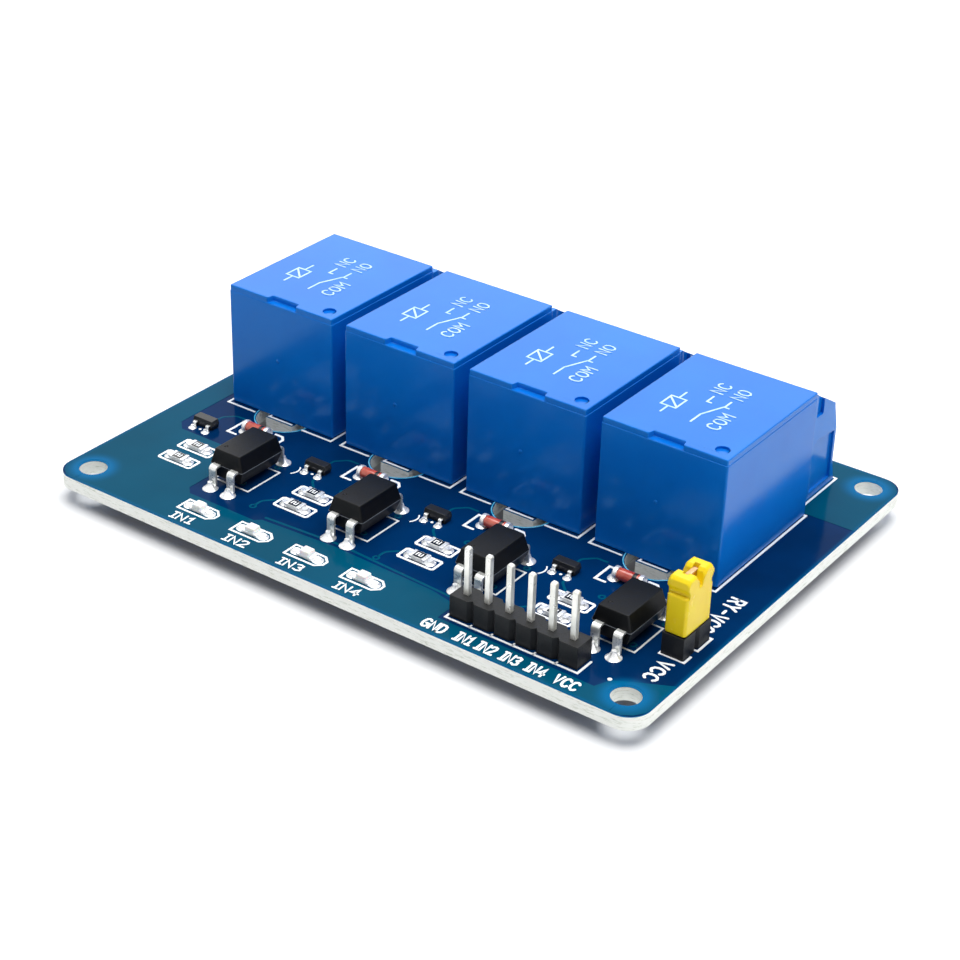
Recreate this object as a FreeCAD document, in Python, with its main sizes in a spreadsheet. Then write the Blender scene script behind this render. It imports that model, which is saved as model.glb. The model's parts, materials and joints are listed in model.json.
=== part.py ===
import FreeCAD, Part
import math
import os

import Sketcher

# Four channel relay board. X runs along the row of relays, Y points from the control
# header to the screw terminals, and Z is up. The origin lies under the middle of the
# board, on the surface that the solder side pin ends stand on.

SIZES = [
    # the circuit board and its mounting holes
    ("board_length", 76.0), ("board_width", 56.0), ("board_thickness", 1.6),
    ("board_corner", 2.6), ("mount_spacing_x", 69.8), ("mount_spacing_y", 49.7),
    ("mount_hole", 3.1), ("pin_drop", 2.0), ("hole_play", 0.3),
    # the four equal channels
    ("channel_pitch", 16.85), ("channel_shift", -0.675),
    # the sealed relay
    ("relay_length", 15.0), ("relay_depth", 18.8), ("relay_height", 15.0),
    ("relay_front", -3.4), ("relay_corner", 0.45), ("relay_edge", 0.25),
    ("relay_lid", 0.75), ("relay_seam", 0.2), ("relay_seam_depth", 0.15),
    ("relay_wall", 0.9), ("relay_recess", 0.5),
    ("relay_notch_start", -2.6), ("relay_notch_end", 1.2), ("relay_notch_depth", 0.6),
    ("relay_vent", 1.3), ("relay_vent_x", 5.9), ("relay_vent_inset", 1.7),
    ("relay_vent_depth", 0.35),
    # the relay's five pins: one common pin in front, two coil pins, two contact pins
    ("common_inset", 1.8), ("coil_step", 2.0), ("contact_step", 14.2), ("pin_half_spread", 6.0),
    ("relay_pin_width", 1.0), ("relay_pin_thickness", 0.5),
    # the slot that isolates the common pin from the coil pins
    ("slot_outer", 3.4), ("slot_island", 1.95), ("slot_arm", 4.5), ("slot_arc_back", 0.6),
    ("slot_island_nose", 0.55),
    # the three way screw terminal
    ("pole_pitch", 5.0), ("terminal_end_wall", 0.1), ("terminal_gap", 0.35),
    ("terminal_offset", -1.4), ("terminal_foot_depth", 8.5), ("terminal_waist_depth", 7.75),
    ("terminal_waist_low", 2.8), ("terminal_waist_high", 6.9), ("terminal_brow_depth", 6.75),
    ("terminal_brow_height", 10.4), ("terminal_height", 13.1), ("terminal_top_depth", 2.3),
    ("terminal_lead_in", 0.4),
    ("chamber_width", 3.8), ("chamber_front", 0.65), ("chamber_depth", 5.5),
    ("entry_width", 3.4), ("entry_low", 0.8), ("entry_high", 4.6),
    ("shelf_thickness", 0.7), ("key_width", 1.5), ("key_depth", 0.4), ("key_flare", 0.2),
    ("key_front", 2.5), ("key_low", 10.2), ("key_play", 0.1),
    ("panel_front", 2.55), ("panel_back", 7.3), ("panel_low", 0.9), ("panel_high", 7.2),
    ("panel_depth", 0.3), ("panel_corner", 0.9),
    # the rising wire clamp, its screw and the fixed contact
    ("screw_line", 3.85), ("clamp_width", 3.5), ("clamp_depth", 4.2), ("clamp_wall", 0.5),
    ("clamp_floor", 0.6), ("clamp_nut", 0.9), ("clamp_rest", 0.35), ("wire_space", 2.9),
    ("clamp_travel", 2.0), ("clamp_corner", 0.3), ("travel_play", 0.25),
    ("contact_thickness", 0.8), ("contact_width", 2.2), ("contact_play", 0.1),
    ("tail_width", 0.9), ("screw_shank", 2.3), ("screw_head", 3.6), ("screw_head_height", 1.7),
    ("screw_play", 0.07), ("well_play", 0.15), ("drive_width", 0.6), ("drive_depth", 0.8),
    ("shelf_play", 0.15),
    # the optocouplers, whose pitch is a little less than the relays'
    ("opto_first", -20.5), ("chip_pitch", 16.58), ("opto_line", -15.65), ("opto_width", 4.6),
    ("opto_depth", 6.8), ("opto_floor", 0.9), ("opto_seam", 2.45), ("opto_height", 4.25),
    ("opto_lean", 0.55), ("opto_end_lean", 0.25), ("opto_mark", 0.5), ("opto_mark_inset", 1.3),
    ("opto_mark_depth", 0.08),
    ("lead_pitch", 2.54), ("lead_width", 0.95), ("lead_thickness", 0.25),
    ("lead_reach", 0.85), ("lead_foot", 0.75), ("lead_bend", 0.35),
    # the small transistors
    ("transistor_first", -31.7), ("transistor_line", -9.95), ("transistor_width", 2.9),
    ("transistor_depth", 1.3), ("transistor_floor", 0.08), ("transistor_seam", 0.6),
    ("transistor_height", 1.15), ("transistor_lean", 0.1), ("transistor_pitch", 1.9),
    ("transistor_lead_width", 0.42), ("transistor_lead_thickness", 0.13),
    ("transistor_reach", 0.35), ("transistor_foot", 0.35), ("transistor_bend", 0.12),
    # the glass diodes
    ("diode_first", -25.65), ("diode_pitch", 16.72), ("diode_line", -8.1),
    ("diode_length", 3.5), ("diode_glass", 1.36), ("diode_cap", 1.5), ("diode_cap_length", 0.5),
    # the two chip resistors of a channel
    ("resistor_offset", -2.85), ("resistor_line", -14.55), ("resistor_step", 3.1),
    ("resistor_length", 2.0), ("resistor_width", 1.25), ("resistor_height", 0.5),
    ("resistor_end", 0.35), ("resistor_plating", 0.05), ("resistor_lift", 0.05),
    # the indicator lights
    ("lamp_first", -19.55), ("lamp_pitch", 7.47), ("lamp_line", -24.4), ("lamp_length", 2.0),
    ("lamp_width", 1.25), ("lamp_base", 0.3), ("lamp_end", 0.3), ("lamp_lens_height", 0.55),
    ("lamp_lens_draft", 8.0), ("lamp_lift", 0.05), ("lamp_plating", 0.05),
    # the control header and the jumper header
    ("header_pitch", 2.54), ("header_pins", 6), ("header_first", 14.9), ("header_line", -23.0),
    ("header_width", 2.5), ("header_height", 2.54), ("header_notch", 0.42),
    ("post_size", 0.64), ("post_length", 8.0), ("post_tip", 0.18), ("post_tip_length", 0.45),
    ("jumper_x", 34.93), ("jumper_line", -14.25), ("jumper_pins", 2),
    # the jumper cap and the spring clip inside it
    ("cap_width", 2.4), ("cap_length", 4.8), ("cap_seat", 0.15), ("cap_shoulder", 4.35),
    ("cap_corner", 0.22), ("grip_waist", 4.0), ("grip_length", 4.7),
    ("grip_waist_top", 4.75), ("grip_head_low", 5.25), ("cap_height", 6.3), ("grip_crown", 0.35),
    ("grip_gap", 1.1), ("grip_saddle", 4.7), ("grip_edge", 0.25), ("cap_slot", 0.6),
    ("cap_pocket", 3.9), ("cap_wall", 0.5), ("post_socket_top", 5.5), ("post_play", 0.05),
    ("clip_thickness", 0.2), ("clip_height", 3.3), ("clip_play", 0.03), ("strap_play", 0.1),
    ("bridge_width", 1.1), ("bridge_height", 2.15), ("bridge_reach", 2.4), ("bridge_wing", 0.35),
]

doc = FreeCAD.newDocument("RelayBoard")
sheet = doc.addObject("Spreadsheet::Sheet", "Sizes")
for row, (name, value) in enumerate(SIZES, start=1):
    sheet.set(f"A{row}", name)
    sheet.set(f"B{row}", str(value))
    sheet.setAlias(f"B{row}", name)
doc.recompute()

NAMES = sorted((name for name, value in SIZES), key=len, reverse=True)


def cells(text):
    """An expression in plain size names, with the sheet's name put before each of them."""
    words = []
    word = ""
    for letter in str(text) + " ":
        if letter.isalnum() or letter == "_":
            word += letter
            continue
        words.append(f"Sizes.{word}" if word in NAMES else word)
        words.append(letter)
        word = ""
    return "".join(words).strip()


def number(text):
    """The value that an expression has now."""
    return float(sheet.evalExpression(cells(text)))


def bind(thing, **sizes):
    """Binds properties to expressions. An underscore pair in a name stands for a dot."""
    for name, text in sizes.items():
        thing.setExpression(name.replace("__", "."), cells(text))


def place(thing, x="0", y="0", z="0"):
    """Binds the place of a piece."""
    bind(thing, Placement__Base__x=x, Placement__Base__y=y, Placement__Base__z=z)


BOARD_TOP = "(pin_drop + board_thickness)"
RELAY_Y = "(relay_front + relay_depth / 2)"
TERMINAL_FRONT = "(relay_front + relay_depth + terminal_gap)"
TERMINAL_LENGTH = "(3 * pole_pitch + 2 * terminal_end_wall)"
TONGUE_LOW = "(clamp_rest + clamp_floor + wire_space)"
TONGUE_HIGH = f"({TONGUE_LOW} + contact_thickness)"
CLAMP_HEIGHT = (
    f"({TONGUE_HIGH} + contact_play + clamp_nut - clamp_rest)"
)
CHAMBER_ROOF = f"(clamp_rest + {CLAMP_HEIGHT} + clamp_travel + travel_play)"
SHELF_TOP = f"({CHAMBER_ROOF} + shelf_thickness)"
HEAD_LOW = f"({SHELF_TOP} + shelf_play)"
CHANNELS = range(4)
POLES = {"left": -1, "middle": 0, "right": 1}


def channel_x(k):
    """The middle line of a channel's relay."""
    return f"(channel_shift + {k - 1.5} * channel_pitch)"


def body(name, x="0", y="0", z="0"):
    """A piece made from sketches and features."""
    made = doc.addObject("PartDesign::Body", name)
    made.Label = name
    place(made, x, y, z)
    return made


def sketch(owner, name, plane="XY_Plane", lift="0"):
    """A sketch on one of a body's own planes, lifted along the plane's normal."""
    made = owner.newObject("Sketcher::SketchObject", name)
    base = next(f for f in owner.Origin.OriginFeatures if f.Role == plane)
    made.AttachmentSupport = [(base, "")]
    made.MapMode = "FlatFace"
    bind(made, AttachmentOffset__Base__z=lift)
    return made


def pin_point(drawing, edge, end, x, y):
    """Holds one point of a sketch at two bound distances from the origin."""
    for kind, text in (("DistanceX", x), ("DistanceY", y)):
        index = drawing.addConstraint(
            Sketcher.Constraint(kind, -1, 1, edge, end, number(text))
        )
        drawing.setExpression(f"Constraints[{index}]", cells(text))


def polygon(drawing, points):
    """A closed outline through points, each a pair of expressions."""
    spots = [FreeCAD.Vector(number(x), number(y), 0) for x, y in points]
    count = len(spots)
    first = drawing.GeometryCount
    for i in range(count):
        drawing.addGeometry(Part.LineSegment(spots[i], spots[(i + 1) % count]))
    for i in range(count):
        following = first + (i + 1) % count
        drawing.addConstraint(
            Sketcher.Constraint("Coincident", first + i, 2, following, 1)
        )
        pin_point(drawing, first + i, 1, *points[i])


def rectangle(drawing, low_x, low_y, high_x, high_y):
    """A closed outline with sides along the sketch's axes."""
    polygon(
        drawing,
        [(low_x, low_y), (high_x, low_y), (high_x, high_y), (low_x, high_y)],
    )


def centred(drawing, width, height, x="0", y="0"):
    """A rectangle around a point."""
    rectangle(
        drawing,
        f"{x} - ({width}) / 2", f"{y} - ({height}) / 2",
        f"{x} + ({width}) / 2", f"{y} + ({height}) / 2",
    )


def many_sided(drawing, x, y, diameter, sides=12, hole=False):
    """A round outline with few sides. Those of a hole stay outside the true circle."""
    reach = 0.5 / math.cos(math.pi / sides) if hole else 0.5
    turns = [(i + 0.5) * 2 * math.pi / sides for i in range(sides)]
    polygon(drawing, [
        (
            f"{x} + {reach * math.cos(turn):.6f} * ({diameter})",
            f"{y} + {reach * math.sin(turn):.6f} * ({diameter})",
        )
        for turn in turns
    ])


def circle(drawing, x, y, diameter):
    """A round outline."""
    middle = FreeCAD.Vector(number(x), number(y), 0)
    index = drawing.addGeometry(
        Part.Circle(middle, FreeCAD.Vector(0, 0, 1), number(diameter) / 2)
    )
    pin_point(drawing, index, 3, x, y)
    size = drawing.addConstraint(
        Sketcher.Constraint("Diameter", index, number(diameter))
    )
    drawing.setExpression(f"Constraints[{size}]", cells(diameter))


def pad(owner, drawing, length, name, both_ways=False, taper=None, down=False):
    """Material along the sketch's normal."""
    made = owner.newObject("PartDesign::Pad", name)
    made.Profile = drawing
    made.Midplane = both_ways
    made.Reversed = down
    bind(made, Length=length)
    if taper:
        bind(made, TaperAngle=f"-({taper})")
    doc.recompute()
    return made


def pocket(owner, drawing, name, length=None, ahead=False):
    """A cut against the sketch's normal, or along it when ahead is set."""
    made = owner.newObject("PartDesign::Pocket", name)
    made.Profile = drawing
    made.Reversed = ahead
    if length:
        bind(made, Length=length)
    else:
        made.Type = 1
    doc.recompute()
    return made


def pattern(owner, features, name, pitch, count, axis="X_Axis"):
    """Equal copies of features along one of the body's axes."""
    made = owner.newObject("PartDesign::LinearPattern", name)
    made.Originals = features
    line = next(f for f in owner.Origin.OriginFeatures if f.Role == axis)
    made.Direction = (line, [""])
    made.Mode = 1
    bind(made, Offset=pitch, Occurrences=count)
    owner.Tip = made
    doc.recompute()
    return made


def edges(shape, test):
    """The names of the edges whose middle point and direction pass a test."""
    found = []
    for i, edge in enumerate(shape.Edges, start=1):
        start, end = edge.ParameterRange
        middle = edge.valueAt((start + end) / 2)
        along = edge.tangentAt((start + end) / 2)
        if test(middle, along, edge):
            found.append(f"Edge{i}")
    return found


def finish_edges(owner, kind, name, size, test):
    """A fillet or a chamfer on the edges that pass a test."""
    base = owner.Tip
    made = owner.newObject(f"PartDesign::{kind}", name)
    made.Base = (base, edges(base.Shape, test))
    bind(made, **{"Radius" if kind == "Fillet" else "Size": size})
    doc.recompute()
    return made


def upright(middle, along, edge):
    """Is the edge straight and parallel to Z?"""
    return abs(along.z) > 0.999 and edge.Curve.TypeId == "Part::GeomLine"


def copy_of(master, name, x="0", y="0", z="0", turn=0):
    """A further piece of the same form, at a bound place."""
    made = doc.addObject("App::Link", name)
    made.LinkedObject = master
    made.Label = name
    made.Placement.Rotation = FreeCAD.Rotation(FreeCAD.Vector(0, 0, 1), turn)
    place(made, x, y, z)
    return made


def group(name, members):
    """Like pieces that share one name, each a solid of its own."""
    made = doc.addObject("Part::Compound", name)
    made.Links = members
    made.Label = name
    return made


def box(name, length, width, height, x, y, z):
    """A plain block from its low corner."""
    made = doc.addObject("Part::Box", name)
    bind(made, Length=length, Width=width, Height=height)
    place(made, x, y, z)
    return made


pieces = {}


# The board: glass fibre laminate with rounded corners, four mounting holes, a hole for
# each pin, and a slot around each relay's common pin.


def common_y():
    """The line of the relays' common pins."""
    return "(relay_front + common_inset)"


def make_slot(owner):
    """A U open to the back: a round nose outside and a square ended island inside."""
    drawing = sketch(owner, "slot_outline", lift="board_thickness")
    x0 = channel_x(0)
    back = "(relay_front + slot_arm)"
    turn = "(relay_front + slot_arc_back)"
    left, right = f"({x0} - slot_outer)", f"({x0} + slot_outer)"
    inner_left, inner_right = f"({x0} - slot_island)", f"({x0} + slot_island)"
    face = "(relay_front - slot_island_nose)"
    points = [
        (right, turn), (right, back), (inner_right, back), (inner_right, face),
        (inner_left, face), (inner_left, back), (left, back), (left, turn),
    ]
    spots = [FreeCAD.Vector(number(x), number(y), 0) for x, y in points]
    for start, end in zip(spots, spots[1:]):
        drawing.addGeometry(Part.LineSegment(start, end))
    for i in range(len(points) - 2):
        drawing.addConstraint(Sketcher.Constraint("Coincident", i, 2, i + 1, 1))
    for i in range(len(points) - 1):
        pin_point(drawing, i, 1, *points[i])
    pin_point(drawing, len(points) - 2, 2, *points[-1])
    low = FreeCAD.Vector(number(x0), number(f"{turn} - slot_outer"), 0)
    nose = drawing.addGeometry(Part.Arc(spots[-1], low, spots[0]))
    drawing.addConstraint(Sketcher.Constraint("Coincident", nose, 1, len(points) - 2, 2))
    drawing.addConstraint(Sketcher.Constraint("Coincident", nose, 2, 0, 1))
    level = drawing.addConstraint(
        Sketcher.Constraint("DistanceY", -1, 1, nose, 3, number(turn))
    )
    drawing.setExpression(f"Constraints[{level}]", cells(turn))
    return pocket(owner, drawing, "slot")


def make_board():
    """The board with all of its holes."""
    board = body("circuit_board", z="pin_drop")
    plate = sketch(board, "plate_outline")
    centred(plate, "board_length", "board_width")
    pad(board, plate, "board_thickness", "plate")
    finish_edges(board, "Fillet", "plate_corners", "board_corner", upright)
    mounts = sketch(board, "mount_holes_outline", lift="board_thickness")
    for side_x in (-1, 1):
        for side_y in (-1, 1):
            circle(
                mounts, f"{side_x} * mount_spacing_x / 2",
                f"{side_y} * mount_spacing_y / 2", "mount_hole",
            )
    pocket(board, mounts, "mount_holes")
    slot = make_slot(board)
    channel = sketch(board, "channel_holes_outline", lift="board_thickness")
    for x, y in relay_pin_places():
        many_sided(
            channel, f"{channel_x(0)} + {x}", f"{RELAY_Y} + {y}",
            "relay_pin_width + hole_play", 6, hole=True,
        )
    for pole in POLES.values():
        many_sided(
            channel, f"{channel_x(0)} + terminal_offset + {pole} * pole_pitch",
            f"{TERMINAL_FRONT} + {TAIL_Y}", f"{TAIL_DIAGONAL} + hole_play", 6, hole=True,
        )
    holes = pocket(board, channel, "channel_holes")
    pattern(board, [slot, holes], "channels", "channel_pitch", "4")
    control = sketch(board, "header_hole_outline", lift="board_thickness")
    many_sided(
        control, "header_first", "header_line", f"{POST_DIAGONAL} + hole_play", 6, hole=True
    )
    first = pocket(board, control, "header_hole")
    pattern(board, [first], "header_holes", "header_pitch", "header_pins")
    jumper = sketch(board, "jumper_hole_outline", lift="board_thickness")
    many_sided(
        jumper, "jumper_x", f"jumper_line - {JUMPER_HALF}", f"{POST_DIAGONAL} + hole_play", 6,
        hole=True,
    )
    first = pocket(board, jumper, "jumper_hole")
    pattern(board, [first], "jumper_holes", "header_pitch", "jumper_pins", "Y_Axis")
    pieces["circuit_board"] = board


TAIL_Y = "(chamber_front + contact_play + contact_thickness / 2)"
TAIL_DIAGONAL = "sqrt(tail_width ^ 2 + contact_thickness ^ 2)"
POST_DIAGONAL = "sqrt(2) * post_size"
JUMPER_HALF = "((jumper_pins - 1) / 2 * header_pitch)"


def relay_pin_places():
    """The relay's pins, from the middle of its underside."""
    common = "(common_inset - relay_depth / 2)"
    return [
        ("0", common),
        ("pin_half_spread", f"({common} + coil_step)"),
        ("(-pin_half_spread)", f"({common} + coil_step)"),
        ("pin_half_spread", f"({common} + contact_step)"),
        ("(-pin_half_spread)", f"({common} + contact_step)"),
    ]


# The relay: a moulded case, glued shut, with a seam under its lid, a finger notch in the
# front edge, a vent dimple, and a sealed underside that stands a little above the board.


def make_relay_case():
    """One relay case around its own middle line."""
    case = body("relay_case_1", channel_x(0), RELAY_Y, BOARD_TOP)
    outline = sketch(case, "case_outline")
    centred(outline, "relay_length", "relay_depth")
    pad(case, outline, "relay_height", "case_block")
    finish_edges(case, "Chamfer", "case_corners", "relay_corner", upright)
    top = number("relay_height")
    finish_edges(
        case, "Chamfer", "case_rim", "relay_edge",
        lambda middle, along, edge: abs(middle.z - top) < 1e-4,
    )
    seam = sketch(case, "seam_outline", lift="relay_height - relay_lid - relay_seam")
    wide = "2 * relay_corner"
    centred(seam, f"relay_length + {wide}", f"relay_depth + {wide}")
    x, y = "(relay_length / 2 - relay_seam_depth)", "(relay_depth / 2 - relay_seam_depth)"
    polygon(seam, [
        (f"-{x} + relay_corner", f"-{y}"), (f"{x} - relay_corner", f"-{y}"),
        (x, f"-{y} + relay_corner"), (x, f"{y} - relay_corner"),
        (f"{x} - relay_corner", y), (f"-{x} + relay_corner", y),
        (f"-{x}", f"{y} - relay_corner"), (f"-{x}", f"-{y} + relay_corner"),
    ])
    pocket(case, seam, "seam", "relay_seam", ahead=True)
    notch = sketch(case, "notch_outline", lift="relay_height")
    rectangle(
        notch, "relay_notch_start", "-relay_depth / 2 - relay_edge",
        "relay_notch_end", "-relay_depth / 2 + relay_notch_depth",
    )
    pocket(case, notch, "notch", "relay_lid")
    vent = sketch(case, "vent_outline", lift="relay_height")
    many_sided(vent, "relay_vent_x", "relay_vent_inset - relay_depth / 2", "relay_vent")
    pocket(case, vent, "vent", "relay_vent_depth")
    under = sketch(case, "underside_outline")
    centred(under, "relay_length - 2 * relay_wall", "relay_depth - 2 * relay_wall")
    pocket(case, under, "underside", "relay_recess", ahead=True)
    return case


def make_relays():
    """Four cases, and the pins of all four."""
    case = make_relay_case()
    pieces["relay_case_1"] = case
    for k in CHANNELS[1:]:
        name = f"relay_case_{k + 1}"
        pieces[name] = copy_of(case, name, channel_x(k), RELAY_Y, BOARD_TOP)
    pins = []
    for i, (x, y) in enumerate(relay_pin_places()):
        pins.append(box(
            f"relay_pin_{i}", "relay_pin_width", "relay_pin_thickness",
            f"relay_recess + {BOARD_TOP}",
            f"{x} - relay_pin_width / 2", f"{y} - relay_pin_thickness / 2", "0",
        ))
    one = group("one_relay_pins", pins)
    sets = [
        copy_of(one, f"relay_pin_set_{k + 1}", channel_x(k), RELAY_Y) for k in CHANNELS
    ]
    pieces["relay_pins"] = group("relay_pins", sets)


# The screw terminals: a moulded housing with three chambers. In each chamber a nut clamp
# climbs when its screw turns, and presses the wire up against a fixed tongue.


def make_terminal_housing():
    """One housing, its front face at Y = 0 and its middle pole at X = 0."""
    x = f"{channel_x(0)} + terminal_offset"
    housing = body("terminal_housing_1", x, TERMINAL_FRONT, BOARD_TOP)
    side = sketch(housing, "side_outline", "YZ_Plane")
    polygon(side, [
        ("0", "0"), ("terminal_foot_depth", "0"),
        ("terminal_waist_depth", "terminal_waist_low"),
        ("terminal_waist_depth", "terminal_waist_high"),
        ("terminal_brow_depth", "terminal_brow_height"),
        ("terminal_top_depth", "terminal_height"),
        ("terminal_lead_in", "terminal_height"),
        ("0", "terminal_height - terminal_lead_in"),
    ])
    pad(housing, side, TERMINAL_LENGTH, "housing_block", both_ways=True)
    first = "(-pole_pitch)"
    chamber = sketch(housing, "chamber_outline")
    rectangle(
        chamber, f"{first} - chamber_width / 2", "chamber_front",
        f"{first} + chamber_width / 2", "chamber_front + chamber_depth",
    )
    chamber_cut = pocket(housing, chamber, "chamber", CHAMBER_ROOF, ahead=True)
    shank = sketch(housing, "shank_outline", lift=CHAMBER_ROOF)
    many_sided(shank, first, "screw_line", "screw_shank + 2 * well_play", hole=True)
    shank_cut = pocket(housing, shank, "shank_hole", "shelf_thickness", ahead=True)
    well = sketch(housing, "well_outline", lift=SHELF_TOP)
    many_sided(well, first, "screw_line", "screw_head + 2 * well_play", 14, hole=True)
    well_cut = pocket(housing, well, "screw_well", ahead=True)
    entry = sketch(housing, "entry_outline", "XZ_Plane", "-(chamber_front + chamber_depth)")
    rectangle(
        entry, f"{first} - entry_width / 2", "entry_low",
        f"{first} + entry_width / 2", "entry_high",
    )
    entry_cut = pocket(housing, entry, "wire_entry")
    pattern(
        housing, [chamber_cut, shank_cut, well_cut, entry_cut], "poles", "pole_pitch", "3"
    )
    make_end_walls(housing)
    return housing


def make_end_walls(housing):
    """The shallow panel low on each end, the dovetail slot on one and its key on the other."""
    end = f"{TERMINAL_LENGTH} / 2"
    for sign, name in ((1, "right"), (-1, "left")):
        panel = sketch(housing, f"{name}_panel_outline", "YZ_Plane", f"{sign} * {end}")
        polygon(panel, [
            ("panel_front", "panel_low"), ("panel_back", "panel_low"),
            ("panel_back", "panel_high - panel_corner / 2"),
            ("panel_front + panel_corner", "panel_high"),
            ("panel_front", "panel_high - panel_corner"),
        ])
        pocket(housing, panel, f"{name}_panel", "panel_depth", ahead=sign < 0)
    slot = sketch(housing, "key_slot_outline", lift="terminal_height")
    polygon(slot, [
        (f"{end} - key_depth", "key_front - key_flare"), (end, "key_front"),
        (end, "key_front + key_width"),
        (f"{end} - key_depth", "key_front + key_width + key_flare"),
    ])
    pocket(housing, slot, "key_slot", "terminal_height - key_low")
    key = sketch(housing, "key_outline", lift="key_low + key_play")
    polygon(key, [
        (f"-{end}", "key_front + key_play"),
        (f"-{end} - key_depth + key_play", "key_front + key_play - key_flare"),
        (f"-{end} - key_depth + key_play", "key_front + key_width - key_play + key_flare"),
        (f"-{end}", "key_front + key_width - key_play"),
    ])
    pad(housing, key, "terminal_brow_height - key_low", "key")


def make_clamp(name, x, y, z):
    """A nut clamp: a frame around the wire, with the screw's thread in its roof."""
    clamp = body(name, x, y, z)
    loop = sketch(clamp, "loop_outline", "XZ_Plane")
    rectangle(loop, "-clamp_width / 2", "0", "clamp_width / 2", CLAMP_HEIGHT)
    rectangle(
        loop, "clamp_wall - clamp_width / 2", "clamp_floor",
        "clamp_width / 2 - clamp_wall", f"{CLAMP_HEIGHT} - clamp_nut",
    )
    pad(clamp, loop, "clamp_depth", "loop", both_ways=True)
    outer = number("clamp_width / 2")
    finish_edges(
        clamp, "Chamfer", "loop_bends", "clamp_corner",
        lambda middle, along, edge: abs(along.y) > 0.999 and abs(abs(middle.x) - outer) < 1e-4,
    )
    thread = sketch(clamp, "thread_outline", lift=CLAMP_HEIGHT)
    many_sided(thread, "0", "0", "screw_shank + 2 * screw_play", hole=True)
    pocket(clamp, thread, "thread", "clamp_nut * 1.2")
    return clamp


def make_screw(name, x, y, z):
    """A slotted screw that stands on the tongue, its origin at the underside of its head."""
    screw = body(name, x, y, z)
    head = sketch(screw, "head_outline")
    circle(head, "0", "0", "screw_head")
    pad(screw, head, "screw_head_height", "head")
    shank = sketch(screw, "shank_outline")
    many_sided(shank, "0", "0", "screw_shank")
    pad(screw, shank, f"{HEAD_LOW} - {TONGUE_HIGH}", "shank", down=True)
    drive = sketch(screw, "drive_outline", lift="screw_head_height")
    centred(drive, "screw_head * 1.2", "drive_width")
    pocket(screw, drive, "drive_slot", "drive_depth")
    return screw


def make_contact(name, x, y, z):
    """A bent strip: the tongue in the clamp, and a leg that ends in the solder tail."""
    contact = body(name, x, y, z)
    side = sketch(contact, "strip_outline", "YZ_Plane")
    leg = "(chamber_front + contact_play)"
    reach = "(screw_line + clamp_depth / 2)"
    polygon(side, [
        (leg, "contact_play"), (f"{leg} + contact_thickness", "contact_play"),
        (f"{leg} + contact_thickness", TONGUE_LOW), (reach, TONGUE_LOW),
        (reach, TONGUE_HIGH), (leg, TONGUE_HIGH),
    ])
    pad(contact, side, "contact_width", "strip", both_ways=True)
    tail = sketch(contact, "tail_outline", lift="contact_play")
    centred(tail, "tail_width", "contact_thickness", y=TAIL_Y)
    pad(contact, tail, f"contact_play + {BOARD_TOP}", "tail", down=True)
    return contact


def make_terminals():
    """Four housings, twelve screws and clamps, and the contacts of each housing."""
    housing = make_terminal_housing()
    screw = clamp = contact = None
    for k in CHANNELS:
        block = k + 1
        middle = f"({channel_x(k)} + terminal_offset)"
        name = f"terminal_housing_{block}"
        pieces[name] = (
            copy_of(housing, name, middle, TERMINAL_FRONT, BOARD_TOP) if k else housing
        )
        strips = []
        for side, step in POLES.items():
            x = f"{middle} + {step} * pole_pitch"
            y = f"{TERMINAL_FRONT} + screw_line"
            names = [f"{kind}_{block}_{side}" for kind in ("terminal_screw", "wire_clamp", "contact")]
            spots = [
                (x, y, f"{BOARD_TOP} + {HEAD_LOW}"),
                (x, y, f"{BOARD_TOP} + clamp_rest"),
                (x, TERMINAL_FRONT, BOARD_TOP),
            ]
            if screw is None:
                screw = make_screw(names[0], *spots[0])
                clamp = make_clamp(names[1], *spots[1])
                contact = make_contact(names[2], *spots[2])
                made = [screw, clamp, contact]
            else:
                made = [
                    copy_of(master, label, *spot)
                    for master, label, spot in zip((screw, clamp, contact), names, spots)
                ]
            pieces[names[0]] = made[0]
            pieces[names[1]] = made[1]
            strips.append(made[2])
        label = f"terminal_contacts_{block}"
        pieces[label] = group(label, strips)


# The optocouplers: a black moulded body whose sides draft away from a seam, and four
# leads that leave it at the seam and bend down to the board.


def drafted_body(name, x, y, width, depth, floor, seam, height, lean, end_lean):
    """A block that narrows above and below its seam, on each side by its own lean."""
    made = body(name, x, y, f"{BOARD_TOP} + {seam}")
    for half, reach in (("upper", f"{height} - {seam}"), ("lower", f"{floor} - {seam}")):
        wide = sketch(made, f"{half}_seam_outline")
        centred(wide, width, depth)
        small = sketch(made, f"{half}_end_outline", lift=reach)
        centred(small, f"{width} - 2 * {lean}", f"{depth} - 2 * {end_lean}")
        loft = made.newObject("PartDesign::AdditiveLoft", f"{half}_half")
        loft.Profile = wide
        loft.Sections = [small]
        doc.recompute()
    return made


def gull_lead(name, z_out, half_depth, reach, foot, thick, bend, width):
    """A lead toward +Y: out of the body at its seam, down to the board, then a flat foot."""
    lead = body(name)
    side = sketch(lead, "lead_outline", "YZ_Plane")
    start, knee = half_depth, f"({half_depth} + {reach})"
    polygon(side, [
        (start, f"{z_out} - {thick} / 2"),
        (f"{knee} - {thick} - {bend}", f"{z_out} - {thick} / 2"),
        (f"{knee} - {thick}", f"{z_out} - {thick} / 2 - {bend}"),
        (f"{knee} - {thick}", "0"), (f"{knee} + {foot}", "0"),
        (f"{knee} + {foot}", thick), (knee, thick), (knee, f"{z_out} + {thick} / 2 - {bend}"),
        (f"{knee} - {bend}", f"{z_out} + {thick} / 2"), (start, f"{z_out} + {thick} / 2"),
    ])
    pad(lead, side, width, "lead_strip", both_ways=True)
    return lead


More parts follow.
